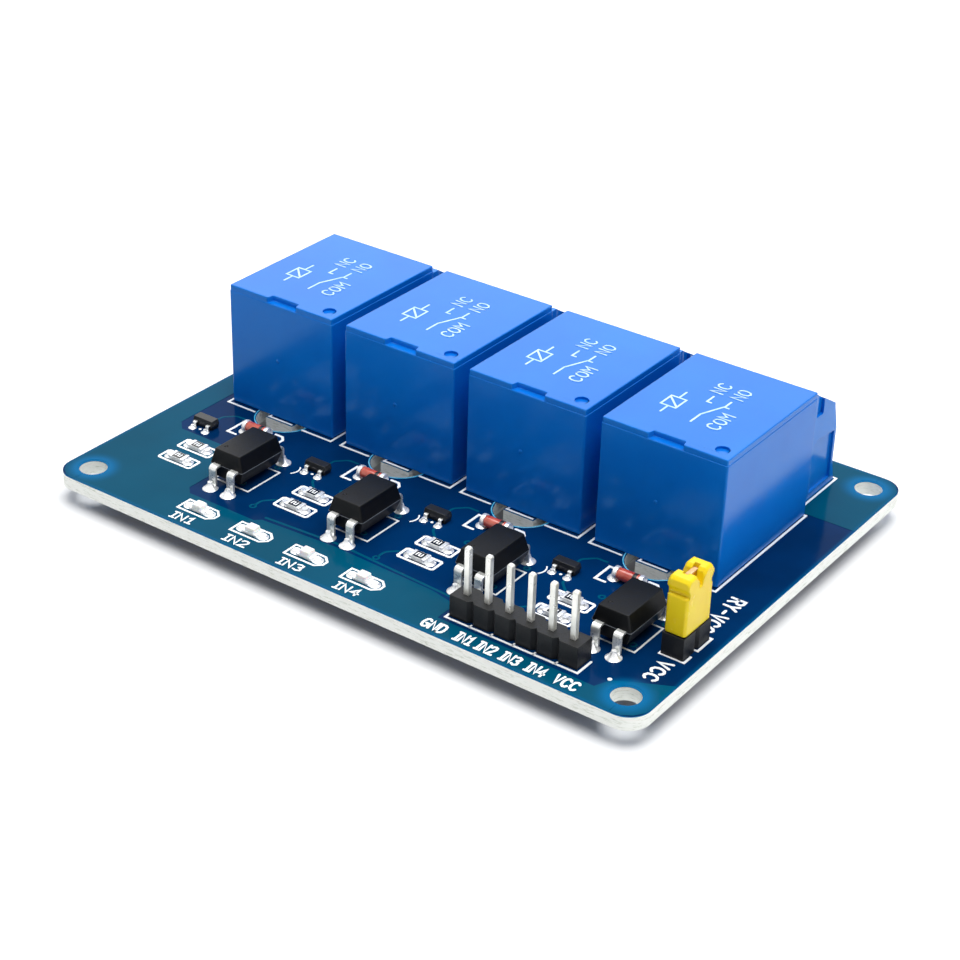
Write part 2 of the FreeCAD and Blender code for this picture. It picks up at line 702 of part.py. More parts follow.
def make_optocouplers():
    """Four bodies and the sixteen leads."""
    chip = drafted_body(
        "optocoupler_1", "opto_first", "opto_line", "opto_width", "opto_depth", "opto_floor", "opto_seam",
        "opto_height", "opto_lean", "opto_end_lean",
    )
    mark = sketch(chip, "mark_outline", lift="opto_height - opto_seam")
    many_sided(
        mark, "opto_mark_inset - opto_width / 2", "opto_mark_inset - opto_depth / 2",
        "opto_mark",
    )
    pocket(chip, mark, "mark", "opto_mark_depth")
    pieces["optocoupler_1"] = chip
    for k in CHANNELS[1:]:
        name = f"optocoupler_{k + 1}"
        pieces[name] = copy_of(
            chip, name, f"opto_first + {k} * chip_pitch", "opto_line",
            f"{BOARD_TOP} + opto_seam",
        )
    lead = gull_lead(
        "optocoupler_lead", "opto_seam", "opto_depth / 2", "lead_reach", "lead_foot",
        "lead_thickness", "lead_bend", "lead_width",
    )
    leads = []
    for k in CHANNELS:
        for turn in (0, 180):
            for step in (-1, 1):
                x = f"opto_first + {k} * chip_pitch + {step} * lead_pitch / 2"
                leads.append(copy_of(
                    lead, f"optocoupler_lead_{len(leads)}", x, "opto_line", BOARD_TOP, turn
                ))
    pieces["optocoupler_leads"] = group("optocoupler_leads", leads)


def make_transistors():
    """Four small transistors, with two leads in front and one behind."""
    chip = drafted_body(
        "transistor_body", "transistor_first", "transistor_line", "transistor_width",
        "transistor_depth", "transistor_floor", "transistor_seam", "transistor_height",
        "transistor_lean", "transistor_lean",
    )
    lead = gull_lead(
        "transistor_lead", "transistor_seam", "transistor_depth / 2", "transistor_reach",
        "transistor_foot", "transistor_lead_thickness", "transistor_bend",
        "transistor_lead_width",
    )
    chips, leads = [chip], []
    for k in CHANNELS:
        x = f"transistor_first + {k} * chip_pitch"
        if k:
            chips.append(copy_of(
                chip, f"transistor_body_{k + 1}", x, "transistor_line",
                f"{BOARD_TOP} + transistor_seam",
            ))
        for step, turn in ((-1, 180), (1, 180), (0, 0)):
            leads.append(copy_of(
                lead, f"transistor_lead_{len(leads)}", f"{x} + {step} * transistor_pitch / 2",
                "transistor_line", BOARD_TOP, turn,
            ))
    pieces["transistor_bodies"] = group("transistor_bodies", chips)
    pieces["transistor_leads"] = group("transistor_leads", leads)


# The diodes: a glass tube between two metal caps, lying along X.


def lying_rod(name, diameter, length, start):
    """A rod along X, in few sides, whose near end is at a bound distance."""
    rod = body(name)
    end = sketch(rod, "end_outline", "YZ_Plane", start)
    many_sided(end, "0", "0", diameter)
    pad(rod, end, length, "rod")
    return rod


def make_diodes():
    """Four glass tubes and their eight caps."""
    half = "(diode_length / 2 - diode_cap_length)"
    glass = lying_rod("diode_tube", "diode_glass", f"2 * {half}", f"-{half}")
    cap = lying_rod("diode_end", "diode_cap", "diode_cap_length", half)
    z = f"{BOARD_TOP} + diode_cap / 2"
    tubes, caps = [], []
    for k in CHANNELS:
        x = f"diode_first + {k} * diode_pitch"
        tubes.append(copy_of(glass, f"diode_tube_{k + 1}", x, "diode_line", z))
        for turn in (0, 180):
            caps.append(copy_of(cap, f"diode_end_{len(caps)}", x, "diode_line", z, turn))
    pieces["diode_glass"] = group("diode_glass", tubes)
    pieces["diode_caps"] = group("diode_caps", caps)


# Chip parts: a ceramic slab whose two ends are wrapped in metal.


def chip_end(name, length, width, height, end, plating):
    """The metal wrap at one end of a slab: five thin walls around it."""
    made = body(name)
    outside = sketch(made, "wrap_outline", "YZ_Plane", f"{length} / 2 - {end}")
    rectangle(
        outside, f"-{width} / 2 - {plating}", f"-{plating}",
        f"{width} / 2 + {plating}", f"{height} + {plating}",
    )
    pad(made, outside, f"{end} + {plating}", "wrap")
    inside = sketch(made, "slab_outline", "YZ_Plane", f"{length} / 2 - {end}")
    rectangle(inside, f"-{width} / 2", "0", f"{width} / 2", height)
    pocket(made, inside, "slab_pocket", end, ahead=True)
    return made


def make_resistors():
    """Two chip resistors in each channel."""
    slab = body("resistor_slab")
    outline = sketch(slab, "slab_outline")
    centred(outline, "resistor_length", "resistor_width")
    pad(slab, outline, "resistor_height", "slab")
    wrap = chip_end(
        "resistor_wrap", "resistor_length", "resistor_width", "resistor_height",
        "resistor_end", "resistor_plating",
    )
    slabs, wraps = [], []
    z = f"{BOARD_TOP} + resistor_lift"
    for k in CHANNELS:
        x = f"{channel_x(k)} + resistor_offset"
        for line in ("resistor_line", "(resistor_line - resistor_step)"):
            slabs.append(copy_of(slab, f"resistor_slab_{len(slabs)}", x, line, z))
            for turn in (0, 180):
                wraps.append(copy_of(wrap, f"resistor_wrap_{len(wraps)}", x, line, z, turn))
    pieces["resistor_bodies"] = group("resistor_bodies", slabs)
    pieces["resistor_ends"] = group("resistor_ends", wraps)


def make_lamps():
    """Four indicator lights: a base with wrapped ends, and a clear lens moulded on it."""
    base = body("lamp_slab")
    outline = sketch(base, "base_outline")
    centred(outline, "lamp_length", "lamp_width")
    pad(base, outline, "lamp_base", "slab")
    lens = sketch(base, "lens_outline", lift="lamp_base")
    inner = "(lamp_length - 2 * lamp_end - 2 * lamp_plating)"
    centred(lens, inner, "lamp_width * 0.96")
    pad(base, lens, "lamp_lens_height", "lens", taper="lamp_lens_draft")
    wrap = chip_end(
        "lamp_wrap", "lamp_length", "lamp_width", "lamp_base", "lamp_end", "lamp_plating"
    )
    bases, wraps = [], []
    z = f"{BOARD_TOP} + lamp_lift"
    for k in CHANNELS:
        x = f"lamp_first + {k} * lamp_pitch"
        bases.append(copy_of(base, f"lamp_{k + 1}", x, "lamp_line", z))
        for turn in (0, 180):
            wraps.append(copy_of(
                wrap, f"lamp_wrap_{len(wraps)}", x, "lamp_line", z, turn
            ))
    pieces["indicator_lamps"] = group("indicator_lamps", bases)
    pieces["indicator_ends"] = group("indicator_ends", wraps)


# The headers: a black strip of square cells, notched between the cells, on square posts.


def make_strip(name, x, y, count, axis):
    """A strip of cells whose first cell is at the origin."""
    strip = body(name, x, y, BOARD_TOP)
    along_x = axis == "X_Axis"
    half = "header_pitch / 2"
    end = f"({count} - 1) * header_pitch + {half}"
    outline = sketch(strip, "strip_outline")
    wide = "header_width / 2"
    if along_x:
        rectangle(outline, f"-{half}", f"-{wide}", end, wide)
    else:
        rectangle(outline, f"-{wide}", f"-{half}", wide, end)
    pad(strip, outline, "header_height", "strip")
    notch = sketch(strip, "notch_outline", lift="header_height")
    for side in (-1, 1):
        points = [
            (f"{half} - header_notch", f"{side} * {wide}"),
            (half, f"{side} * ({wide} - header_notch)"),
            (f"{half} + header_notch", f"{side} * {wide}"),
        ]
        polygon(notch, points if along_x else [(b, a) for a, b in points])
    cut = pocket(strip, notch, "notch")
    pattern(strip, [cut], "notches", "header_pitch", f"{count} - 1", axis)
    hole = sketch(strip, "post_hole_outline", lift="header_height")
    centred(hole, "post_size", "post_size")
    bore = pocket(strip, hole, "post_hole")
    pattern(strip, [bore], "post_holes", "header_pitch", count, axis)
    return strip


def make_post():
    """A square post with a tapered tip at both ends, its origin at its lower end."""
    post = body("header_post")
    outline = sketch(post, "post_outline", lift="post_tip_length")
    centred(outline, "post_size", "post_size")
    pad(post, outline, f"{BOARD_TOP} + post_length - 2 * post_tip_length", "post")
    for name, lift, tip in (
        ("upper_tip", f"{BOARD_TOP} + post_length - post_tip_length", f"{BOARD_TOP} + post_length"),
        ("lower_tip", "post_tip_length", "0"),
    ):
        wide = sketch(post, f"{name}_wide", lift=lift)
        centred(wide, "post_size", "post_size")
        small = sketch(post, f"{name}_small", lift=tip)
        centred(small, "post_size - 2 * post_tip", "post_size - 2 * post_tip")
        loft = post.newObject("PartDesign::AdditiveLoft", name)
        loft.Profile = wide
        loft.Sections = [small]
        doc.recompute()
    return post


def make_headers():
    """The control header along X and the jumper header along Y."""
    first_y = f"(jumper_line - {JUMPER_HALF})"
    pieces["header_strip"] = make_strip(
        "header_strip", "header_first", "header_line", "header_pins", "X_Axis"
    )
    pieces["jumper_strip"] = make_strip(
        "jumper_strip", "jumper_x", first_y, "jumper_pins", "Y_Axis"
    )
    post = make_post()
    posts = [
        copy_of(post, f"header_post_{i}", f"header_first + {i} * header_pitch", "header_line")
        for i in range(int(number("header_pins")))
    ]
    pieces["header_posts"] = group("header_posts", posts)
    posts = [
        copy_of(post, f"jumper_post_{i}", "jumper_x", f"{first_y} + {i} * header_pitch")
        for i in range(int(number("jumper_pins")))
    ]
    pieces["jumper_posts"] = group("jumper_posts", posts)


# The jumper cap: a yellow moulded grip over a sprung clip that bridges the two posts.

CLIP_HALF = "(post_size / 2 + post_play + clip_thickness)"
CLIP_TOP = "(cap_pocket - clip_play)"
BRIDGE_TOP = f"({CLIP_TOP} + bridge_height)"
WING_LOW = f"({BRIDGE_TOP} - bridge_wing)"


def make_cap():
    """The cap's block and two ears, hollowed from below, with a slot for the clip's bridge."""
    z = f"{BOARD_TOP} + header_height + cap_seat"
    cap = body("jumper_cap", "jumper_x", "jumper_line", z)
    block = sketch(cap, "block_outline")
    centred(block, "cap_width", "cap_length")
    pad(cap, block, "cap_shoulder", "block")
    finish_edges(cap, "Chamfer", "block_corners", "cap_corner", upright)
    shoulder = number("cap_shoulder")
    finish_edges(
        cap, "Chamfer", "block_shoulder", "cap_corner",
        lambda middle, along, edge: abs(middle.z - shoulder) < 1e-4,
    )
    side = sketch(cap, "grip_outline", "YZ_Plane")
    right = [
        ("grip_waist / 2", "cap_shoulder - cap_corner"), ("grip_waist / 2", "grip_waist_top"),
        ("grip_length / 2", "grip_head_low"), ("grip_length / 2", "cap_height - grip_crown"),
        ("grip_length / 2 - grip_crown", "cap_height"),
        ("grip_gap / 2 + grip_crown", "cap_height"), ("grip_gap / 2", "cap_height - grip_crown"),
        ("grip_gap / 4", "grip_saddle"),
    ]
    left = [(f"-({y})", height) for y, height in reversed(right)]
    polygon(side, right + left)
    pad(cap, side, "cap_width", "grip", both_ways=True)
    flank = number("cap_width / 2")
    crown = number("cap_height - grip_crown")
    finish_edges(
        cap, "Chamfer", "grip_edges", "grip_edge",
        lambda middle, along, edge: abs(abs(middle.x) - flank) < 1e-4 and middle.z > crown,
    )
    hollow = sketch(cap, "hollow_outline")
    centred(hollow, f"2 * {CLIP_HALF} + 2 * clip_play", "cap_length - 2 * cap_wall")
    pocket(cap, hollow, "hollow", "cap_pocket", ahead=True)
    sockets = sketch(cap, "socket_outline", lift="cap_pocket")
    for step in (-1, 1):
        centred(
            sockets, "post_size + 2 * post_play", "post_size + 2 * post_play",
            y=f"{step} * header_pitch / 2",
        )
    pocket(cap, sockets, "sockets", "post_socket_top - cap_pocket", ahead=True)
    slot = sketch(cap, "slot_outline", lift="cap_height")
    centred(slot, "cap_slot", "bridge_width + 2 * clip_play")
    pocket(cap, slot, "slot", "cap_height - cap_pocket + clip_play")
    groove = sketch(cap, "groove_outline", lift="cap_height")
    centred(groove, "cap_slot", "bridge_reach + 2 * clip_play")
    pocket(cap, groove, "groove", f"cap_height - {WING_LOW} + clip_play")
    return cap


def make_clip():
    """A folded strip: two leaves beside the posts, a strap between them, and on it a bridge
    that stands up between the ears and reaches into both."""
    z = f"{BOARD_TOP} + header_height + cap_seat"
    clip = body("jumper_clip", "jumper_x", "jumper_line", z)
    inside = f"({CLIP_HALF} - clip_thickness)"
    low = f"({CLIP_TOP} - clip_height)"
    length = "(cap_length - 2 * cap_wall - 2 * clip_play)"
    leaves = sketch(clip, "leaves_outline", "XZ_Plane")
    for near, far in ((f"-{CLIP_HALF}", f"-{inside}"), (inside, CLIP_HALF)):
        rectangle(leaves, near, low, far, CLIP_TOP)
    pad(clip, leaves, length, "leaves", both_ways=True)
    strap = sketch(clip, "strap_outline", lift=f"{CLIP_TOP} - clip_thickness")
    between = "header_pitch - post_size - 2 * strap_play"
    centred(strap, f"2 * {CLIP_HALF}", between)
    pad(clip, strap, "clip_thickness", "strap")
    bridge = sketch(clip, "bridge_outline", "YZ_Plane")
    right = [
        ("bridge_width / 2", CLIP_TOP), ("bridge_width / 2", WING_LOW),
        ("bridge_reach / 2", WING_LOW), ("bridge_reach / 2", f"{BRIDGE_TOP} - bridge_wing / 2"),
        ("bridge_reach / 2 - bridge_wing", BRIDGE_TOP),
    ]
    polygon(bridge, right + [(f"-({y})", height) for y, height in reversed(right)])
    pad(clip, bridge, "cap_slot - 2 * clip_play", "bridge", both_ways=True)
    return clip


make_board()
make_relays()
make_terminals()
make_optocouplers()
make_transistors()
make_diodes()
make_resistors()
make_lamps()
make_headers()
pieces["jumper_cap"] = make_cap()
pieces["jumper_clip"] = make_clip()
doc.recompute()

for thing in doc.Objects:
    if "Invalid" in thing.State or "Error" in thing.State:
        raise RuntimeError(f"{thing.Label} did not build: {thing.State}")

os.makedirs("parts", exist_ok=True)
shapes = {}
for label, piece in pieces.items():
    shape = piece.Shape
    if shape.isNull() or not shape.isValid() or not shape.Solids:
        raise RuntimeError(f"{label} has no valid solid")
    shapes[label] = shape
for label, shape in shapes.items():
    shape.exportStep(f"parts/{label}.step")
print(len(shapes), "pieces,", sum(len(s.Solids) for s in shapes.values()), "solids")
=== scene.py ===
import json
import math

import bpy
import numpy as np
from mathutils import Matrix, Vector


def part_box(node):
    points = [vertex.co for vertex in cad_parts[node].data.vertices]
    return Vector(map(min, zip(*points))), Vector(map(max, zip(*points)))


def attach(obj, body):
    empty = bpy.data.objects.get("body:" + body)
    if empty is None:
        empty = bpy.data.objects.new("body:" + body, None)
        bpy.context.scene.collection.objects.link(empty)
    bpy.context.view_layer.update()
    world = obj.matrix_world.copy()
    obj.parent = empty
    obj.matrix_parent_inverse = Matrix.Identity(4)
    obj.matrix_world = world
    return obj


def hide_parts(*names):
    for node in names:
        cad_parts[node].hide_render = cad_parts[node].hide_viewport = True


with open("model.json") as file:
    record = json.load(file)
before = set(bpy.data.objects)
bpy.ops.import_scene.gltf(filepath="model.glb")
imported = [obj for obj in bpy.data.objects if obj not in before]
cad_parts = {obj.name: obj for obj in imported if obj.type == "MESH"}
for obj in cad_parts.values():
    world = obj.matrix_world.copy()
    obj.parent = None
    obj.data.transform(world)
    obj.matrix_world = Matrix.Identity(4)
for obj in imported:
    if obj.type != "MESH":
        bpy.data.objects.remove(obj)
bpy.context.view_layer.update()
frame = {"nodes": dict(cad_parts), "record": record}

# The circuit board: glass cloth in epoxy, coated on both faces with glossy blue solder mask.
# It is routed to shape, so its edges and the walls of its holes show the pale laminate.
# Sizes here are millimetres, and 1000 of them make one of the scene's metres.

board_low, board_high = (1000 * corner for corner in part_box("circuit_board"))
top = board_high.z
under = board_low.z
hole_spacing = next(
    mount["dims"] for mount in frame["record"]["mounts"] if mount["name"] == "board_holes"
)
HOLE = (hole_spacing["spacing_x_mm"] / 2, hole_spacing["spacing_y_mm"] / 2)
# A painted glow runs from this far out to the rim of a hole, and a weaker one lines the board's edge.
HOLE_GLOW = (3.5, 1.6)
EDGE_GLOW = 0.6
EDGE_GLOW_SHARE = 0.45


def linear(code):
    """The linear colour of an sRGB hex code."""
    parts = np.array([int(code[i:i + 2], 16) for i in (1, 3, 5)]) / 255
    bright = ((parts + 0.055) / 1.055) ** 2.4
    return (*np.where(parts <= 0.04045, parts / 12.92, bright).tolist(), 1.0)


def node(tree, kind, settings=(), links=()):
    """Adds a shader node. A setting is one of its properties or sockets, a link feeds a socket."""
    made = tree.nodes.new(kind)
    for key, value in dict(settings).items():
        if isinstance(key, str) and hasattr(made, key):
            setattr(made, key, value)
        else:
            made.inputs[key].default_value = value
    for key, source in dict(links).items():
        tree.links.new(source, made.inputs[key])
    return made


def surface(name, colours, patch, gloss, grain, depth, edge=0.0, sockets=()):
    """A material whose colour drifts between two values over patches, while its roughness,
    between the two values of gloss, and its relief, of a depth, follow a finer grain. Sharp
    edges are shaded round to the radius edge, and sockets are the shader's own. Gives the
    material, its tree, shader and coordinates."""
    made = bpy.data.materials.new(name)
    made.use_nodes = True
    tree = made.node_tree
    shader = tree.nodes["Principled BSDF"]
    for key, value in dict(sockets).items():
        shader.inputs[key].default_value = value
    place = node(tree, "ShaderNodeTexCoord").outputs["Object"]
    drift = node(
        tree, "ShaderNodeTexNoise", {"Scale": 1000 / patch, "Detail": 3.0}, {"Vector": place}
    )
    share = node(
        tree, "ShaderNodeMapRange", {"From Min": 0.35, "From Max": 0.65}, {"Value": drift.outputs[0]}
    )
    tone = node(
        tree, "ShaderNodeMix",
        {"data_type": "RGBA", 6: linear(colours[0]), 7: linear(colours[1])},
        {0: share.outputs[0]},
    )
    fine = node(
        tree, "ShaderNodeTexNoise", {"Scale": 1000 / grain, "Detail": 4.0}, {"Vector": place}
    )
    sheen = node(
        tree, "ShaderNodeMapRange",
        {"From Min": 0.3, "From Max": 0.7, "To Min": gloss[0], "To Max": gloss[1]},
        {"Value": fine.outputs[0]},
    )
    relief = node(tree, "ShaderNodeBump", {"Distance": depth / 1000}, {"Height": fine.outputs[0]})
    if edge:
        soft = node(tree, "ShaderNodeBevel", {"samples": 6, "Radius": edge / 1000})
        tree.links.new(soft.outputs[0], relief.inputs["Normal"])
    tree.links.new(tone.outputs[2], shader.inputs["Base Color"])
    tree.links.new(sheen.outputs[0], shader.inputs["Roughness"])
    tree.links.new(relief.outputs[0], shader.inputs["Normal"])
    return made, tree, shader, place


def over(tree, shader, where, blend, colours):
    """Lays a colour over a shader's own colour as far as one socket says where. A second
    socket blends that colour from two."""
    before = shader.inputs["Base Color"].links[0].from_socket
    upper = node(
        tree, "ShaderNodeMix", {"data_type": "RGBA", 6: linear(colours[0]), 7: linear(colours[1])},
        {0: blend},
    )
    both = node(
        tree, "ShaderNodeMix", {"data_type": "RGBA"}, {0: where, 6: before, 7: upper.outputs[2]}
    )
    tree.links.new(both.outputs[2], shader.inputs["Base Color"])


def coat(material, *names):
    """Gives CAD nodes a material in all of their slots."""
    for name in names:
        for slot in frame["nodes"][name].material_slots:
            slot.material = material


def painted_glow(tree, shader, place):
    """Paints a glow into the mask's colour near the holes and the board's edge, painted light that
    stands in for light coming through the laminate there: by a smooth step of the distance to a hole's
    centre, and of that to the edge."""
    x, y = (
        node(tree, "ShaderNodeMath", {"operation": "ABSOLUTE"}, {0: socket}).outputs[0]
        for socket in list(node(tree, "ShaderNodeSeparateXYZ", (), {0: place}).outputs)[:2]
    )
    spot = node(tree, "ShaderNodeCombineXYZ", (), {0: x, 1: y})
    gap = node(
        tree, "ShaderNodeVectorMath", {"operation": "DISTANCE", 1: (HOLE[0] / 1000, HOLE[1] / 1000, 0)},
        {0: spot.outputs[0]},
    )
    near_hole = node(
        tree, "ShaderNodeMapRange",
        {"interpolation_type": "SMOOTHSTEP",
         "From Min": HOLE_GLOW[0] / 1000, "From Max": HOLE_GLOW[1] / 1000},
        {"Value": gap.outputs["Value"]},
    )
    past = [
        node(tree, "ShaderNodeMath", {"operation": "SUBTRACT", 1: half / 1000}, {0: axis}).outputs[0]
        for axis, half in ((x, board_high.x), (y, board_high.y))
    ]
    edge = node(tree, "ShaderNodeMath", {"operation": "MAXIMUM"}, {0: past[0], 1: past[1]})
    near_edge = node(
        tree, "ShaderNodeMapRange",
        {"interpolation_type": "SMOOTHSTEP",
         "From Min": -EDGE_GLOW / 1000, "From Max": 0.0, "To Max": EDGE_GLOW_SHARE},
        {"Value": edge.outputs[0]},
    )
    both = node(
        tree, "ShaderNodeMath", {"operation": "MAXIMUM"},
        {0: near_hole.outputs[0], 1: near_edge.outputs[0]},
    )
    over(tree, shader, both.outputs[0], both.outputs[0], ("#045787", "#046294"))


# Screen printed epoxy mask over laminate: deep navy, glossy, with a slight orange peel. Its
# gloss is tinted, because the pigment is close under the surface.
mask_gloss = {"IOR": 1.09, "Specular Tint": linear("#1fc0ff")}
board_finish, tree, shader, place = surface(
    "blue_solder_mask_on_laminate", ("#01264f", "#012d5c"), 9.0, (0.08, 0.16), 1.4, 0.006,
    sockets=mask_gloss,
)
# painted glow near the holes and the board's edge
painted_glow(tree, shader, place)
# Routed glass laminate: nearly white, with fibre streaks 0.15 mm thick along the cut. The mask wraps a
# little way down it, and that rim is painted a brighter blue, a painted highlight for the light it
# catches.
WRAP = 0.08
facing = node(
    tree, "ShaderNodeSeparateXYZ", (), {0: node(tree, "ShaderNodeTexCoord").outputs["Normal"]}
)
height = node(tree, "ShaderNodeSeparateXYZ", (), {0: place})
upright = node(tree, "ShaderNodeMath", {"operation": "ABSOLUTE"}, {0: facing.outputs["Z"]})
cut = node(tree, "ShaderNodeMath", {"operation": "LESS_THAN", 1: 0.5}, {0: upright.outputs[0]})
below = node(
    tree, "ShaderNodeMath", {"operation": "LESS_THAN", 1: (top - WRAP) / 1000},
    {0: height.outputs["Z"]},
)
bare = node(tree, "ShaderNodeMath", {"operation": "MULTIPLY"}, {0: cut.outputs[0], 1: below.outputs[0]})
streaks = node(tree, "ShaderNodeMapping", {"Scale": (1.0, 1.0, 7.0)}, {"Vector": place})
fibres = node(
    tree, "ShaderNodeTexNoise", {"Scale": 1000 / 1.1, "Detail": 5.0, "Roughness": 0.7},
    {"Vector": streaks.outputs[0]},
)
frays = node(
    tree, "ShaderNodeMapRange", {"From Min": 0.52, "From Max": 0.72}, {"Value": fibres.outputs[0]}
)
over(tree, shader, bare.outputs[0], frays.outputs[0], ("#fafcf7", "#c9cfc0"))
# painted highlight: the mask's rim down the cut is coloured a brighter blue
rim = node(tree, "ShaderNodeMath", {"operation": "SUBTRACT"}, {0: cut.outputs[0], 1: bare.outputs[0]})
over(tree, shader, rim.outputs[0], frays.outputs[0], ("#0a7db6", "#1492c4"))
rough = node(
    tree, "ShaderNodeMath", {"operation": "MULTIPLY_ADD", 1: 0.5},
    {0: bare.outputs[0], 2: shader.inputs["Roughness"].links[0].from_socket},
)
tree.links.new(rough.outputs[0], shader.inputs["Roughness"])
coat(board_finish, "circuit_board")

# The copper under the mask: foil of about 0.03 mm, etched into a broad ground pour in front
# and behind, and narrow tracks that end in vias. The mask drapes over it and is lighter there.

FOIL = 0.03
POUR_LEFT = -34.6
POUR_SPLIT = -4.0
POUR_BACK = 15.6
HOLE_CLEAR = 1.8
ROUTED_EDGE = 0.03
BOARD_CORNER = 3.0
# The circuit repeats for each relay, whose middle comes from the frame. The small parts in
# front of the relays have pitches of their own.
centres = [
    1000 * (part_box(f"relay_case_{k}")[0].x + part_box(f"relay_case_{k}")[1].x) / 2
    for k in (1, 2, 3, 4)
]


def row(start, pitch, count=4):
    """The middles of like parts, at an even pitch from the first."""
    return [start + pitch * k for k in range(count)]


optocouplers = row(-20.5, 16.58)
transistors = row(-31.7, 16.58)
resistors = [x - 2.85 for x in centres]
RESISTOR_ROWS = (-14.55, -17.65)


def loft(rings, wrap=False):
    """A closed skin over a stack of rings, counterclockwise as seen from the last one. Point
    i of a ring joins point i of the next. A flat face closes each end, or wrap joins the
    last ring to the first instead."""
    rings = np.asarray(rings, float)
    levels, count = rings.shape[:2]
    step = np.arange(count)
    following = (step + 1) % count
    lower = np.arange(levels if wrap else levels - 1)[:, None] * count
    upper = (lower + count) % (levels * count)
    faces = np.stack([lower + step, lower + following, upper + following, upper + step], -1)
    faces = faces.reshape(-1, 4).tolist()
    if not wrap:
        faces += [step[::-1].tolist(), ((levels - 1) * count + step).tolist()]
    return rings.reshape(-1, 3), faces


def rounded(low, high, radius, steps=5):
    """Points counterclockwise round a rectangle whose corners are quarter circles."""
    turn = np.radians(np.linspace(0, 90, steps)[None] + np.array([[0], [90], [180], [270]]))
    x = np.where(np.cos(turn.mean(1)) > 0, high[0] - radius, low[0] + radius)[:, None]
    y = np.where(np.sin(turn.mean(1)) > 0, high[1] - radius, low[1] + radius)[:, None]
    return np.stack([x + radius * np.cos(turn), y + radius * np.sin(turn)], -1).reshape(-1, 2)


def plate(outline, low, high):
    """A flat sheet between two heights, its edge any closed outline."""
    outline = np.asarray(outline, float)
    levels = [np.c_[outline, np.full(len(outline), z)] for z in (low, high)]
    return loft(levels)


def sweep(path, up, section, closed=False, scale=None):
    """A section carried along a path. The section's first axis is up cross the direction of
    travel, lengthened at a corner so that the strip keeps its width, and its second is up.
    Scale is a factor for the section at each point."""
    path = np.asarray(path, float)
    up = np.asarray(up, float)
    section = np.asarray(section, float)
    ahead = np.roll(path, -1, 0) - path
    ahead /= np.maximum(np.linalg.norm(ahead, axis=1, keepdims=True), 1e-9)
    behind = np.roll(ahead, 1, 0)
    if not closed:
        ahead[-1] = behind[-1]
        behind[0] = ahead[0]
    first, second = np.cross(up, behind), np.cross(up, ahead)
    meet = 1 + np.clip((first * second).sum(1, keepdims=True), -0.7, 1)
    side = (first + second) / meet
    width = np.ones(len(path)) if scale is None else np.asarray(scale, float)
    rings = path[:, None] + width[:, None, None] * (
        section[None, :, :1] * side[:, None] + section[None, :, 1:] * up
    )
    return loft(rings, wrap=closed)


def bent(points, radius, steps=5):
    """A path with its corners rounded: the points before, at and after a corner are mixed by
    (1 - t) squared, 2 t (1 - t) and t squared."""
    points = [np.asarray(p, float) for p in points]
    path = [points[0]]
    for before, corner, after in zip(points, points[1:], points[2:]):
        start = corner + (before - corner) * min(0.5, radius / np.linalg.norm(before - corner))
        end = corner + (after - corner) * min(0.5, radius / np.linalg.norm(after - corner))
        t = np.linspace(0, 1, steps)[:, None]
        path.extend((1 - t) ** 2 * start + 2 * t * (1 - t) * corner + t ** 2 * end)
    return np.array(path + [points[-1]])


def arc(centre, radius, start, end, count=14):
    """Points on part of a circle, between two angles in degrees."""
    turn = np.radians(np.linspace(start, end, count))
    return [(centre[0] + radius * math.cos(t), centre[1] + radius * math.sin(t)) for t in turn]


def make_piece(name, skins, material, body, replaced=(), crease=40):
    """One mesh from closed skins in millimetres. Its faces are shaded smooth across edges
    flatter than the crease, with normals weighted by area so that flat faces stay flat."""
    points, faces, count = [], [], 0
    for corners, sides in skins:
        points.append(corners)
        faces += [[i + count for i in side] for side in sides]
        count += len(corners)
    mesh = bpy.data.meshes.new(name)
    mesh.from_pydata((np.concatenate(points) / 1000).tolist(), [], faces)
    mesh.materials.append(material)
    mesh.shade_smooth()
    mesh.set_sharp_from_angle(angle=math.radians(crease))
    piece = bpy.data.objects.new(name, mesh)
    bpy.context.collection.objects.link(piece)
    even = piece.modifiers.new("even_shading", "WEIGHTED_NORMAL")
    even.keep_sharp = True
    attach(piece, body)
    if replaced:
        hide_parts(*replaced)


def track(points, width):
    """A copper track along a path on the board, with sloped sides."""
    path = bent([(x, y, top) for x, y in points], 0.3, 3)
    half = width / 2
    slope = 0.06
    section = [(-half, 0), (half, 0), (half - slope, FOIL), (slope - half, FOIL)]
    return sweep(path, (0, 0, 1), section)


def around_hole(sx, sy):
    """A detour round a mounting hole, straight in from the nearest long edge of the board
    and back out along nearly the same line."""
    ring = arc((sx * HOLE[0], sy * HOLE[1]), HOLE_CLEAR, 90 * sy - 0.5, 90 * sy - 359.5, 30)
    return [(ring[0][0], sy * half_depth)] + ring + [(ring[-1][0], sy * half_depth)]


half_width, half_depth = board_high.x - ROUTED_EDGE, board_high.y - ROUTED_EDGE
edge_points = rounded(
    (-half_width, -half_depth), (half_width, half_depth), BOARD_CORNER - ROUTED_EDGE
).tolist()
back_right, back_left, front_left, front_right = (edge_points[i:i + 5] for i in (0, 5, 10, 15))
front_pour = (
    [(POUR_LEFT, POUR_SPLIT), (-half_width, POUR_SPLIT)]
    + front_left + around_hole(-1, -1) + around_hole(1, -1) + front_right
    + [(half_width, -20.6), (36.8, -21.2), (34.5, -22.4), (32.4, -23.6), (31.6, -25.4)]
    + [(12.9, -25.2), (12.9, -22.3), (9.5, -21.6), (-3.6, -21.2), (-13.0, -21.8), (-13.7, -22.4)]
    + [(-22.8, -22.4), (-23.7, -21.5), (-23.7, -13.0), (-24.5, -12.2), (-33.4, -12.2)]
    + [(POUR_LEFT, -11.0)]
)
back_pour = (
    [(33.2, POUR_BACK), (half_width, POUR_BACK)]
    + back_right + around_hole(1, 1) + around_hole(-1, 1) + back_left
    + [(-half_width, POUR_SPLIT), (POUR_LEFT, POUR_SPLIT), (POUR_LEFT, POUR_BACK)]
)
TRACK = 0.3
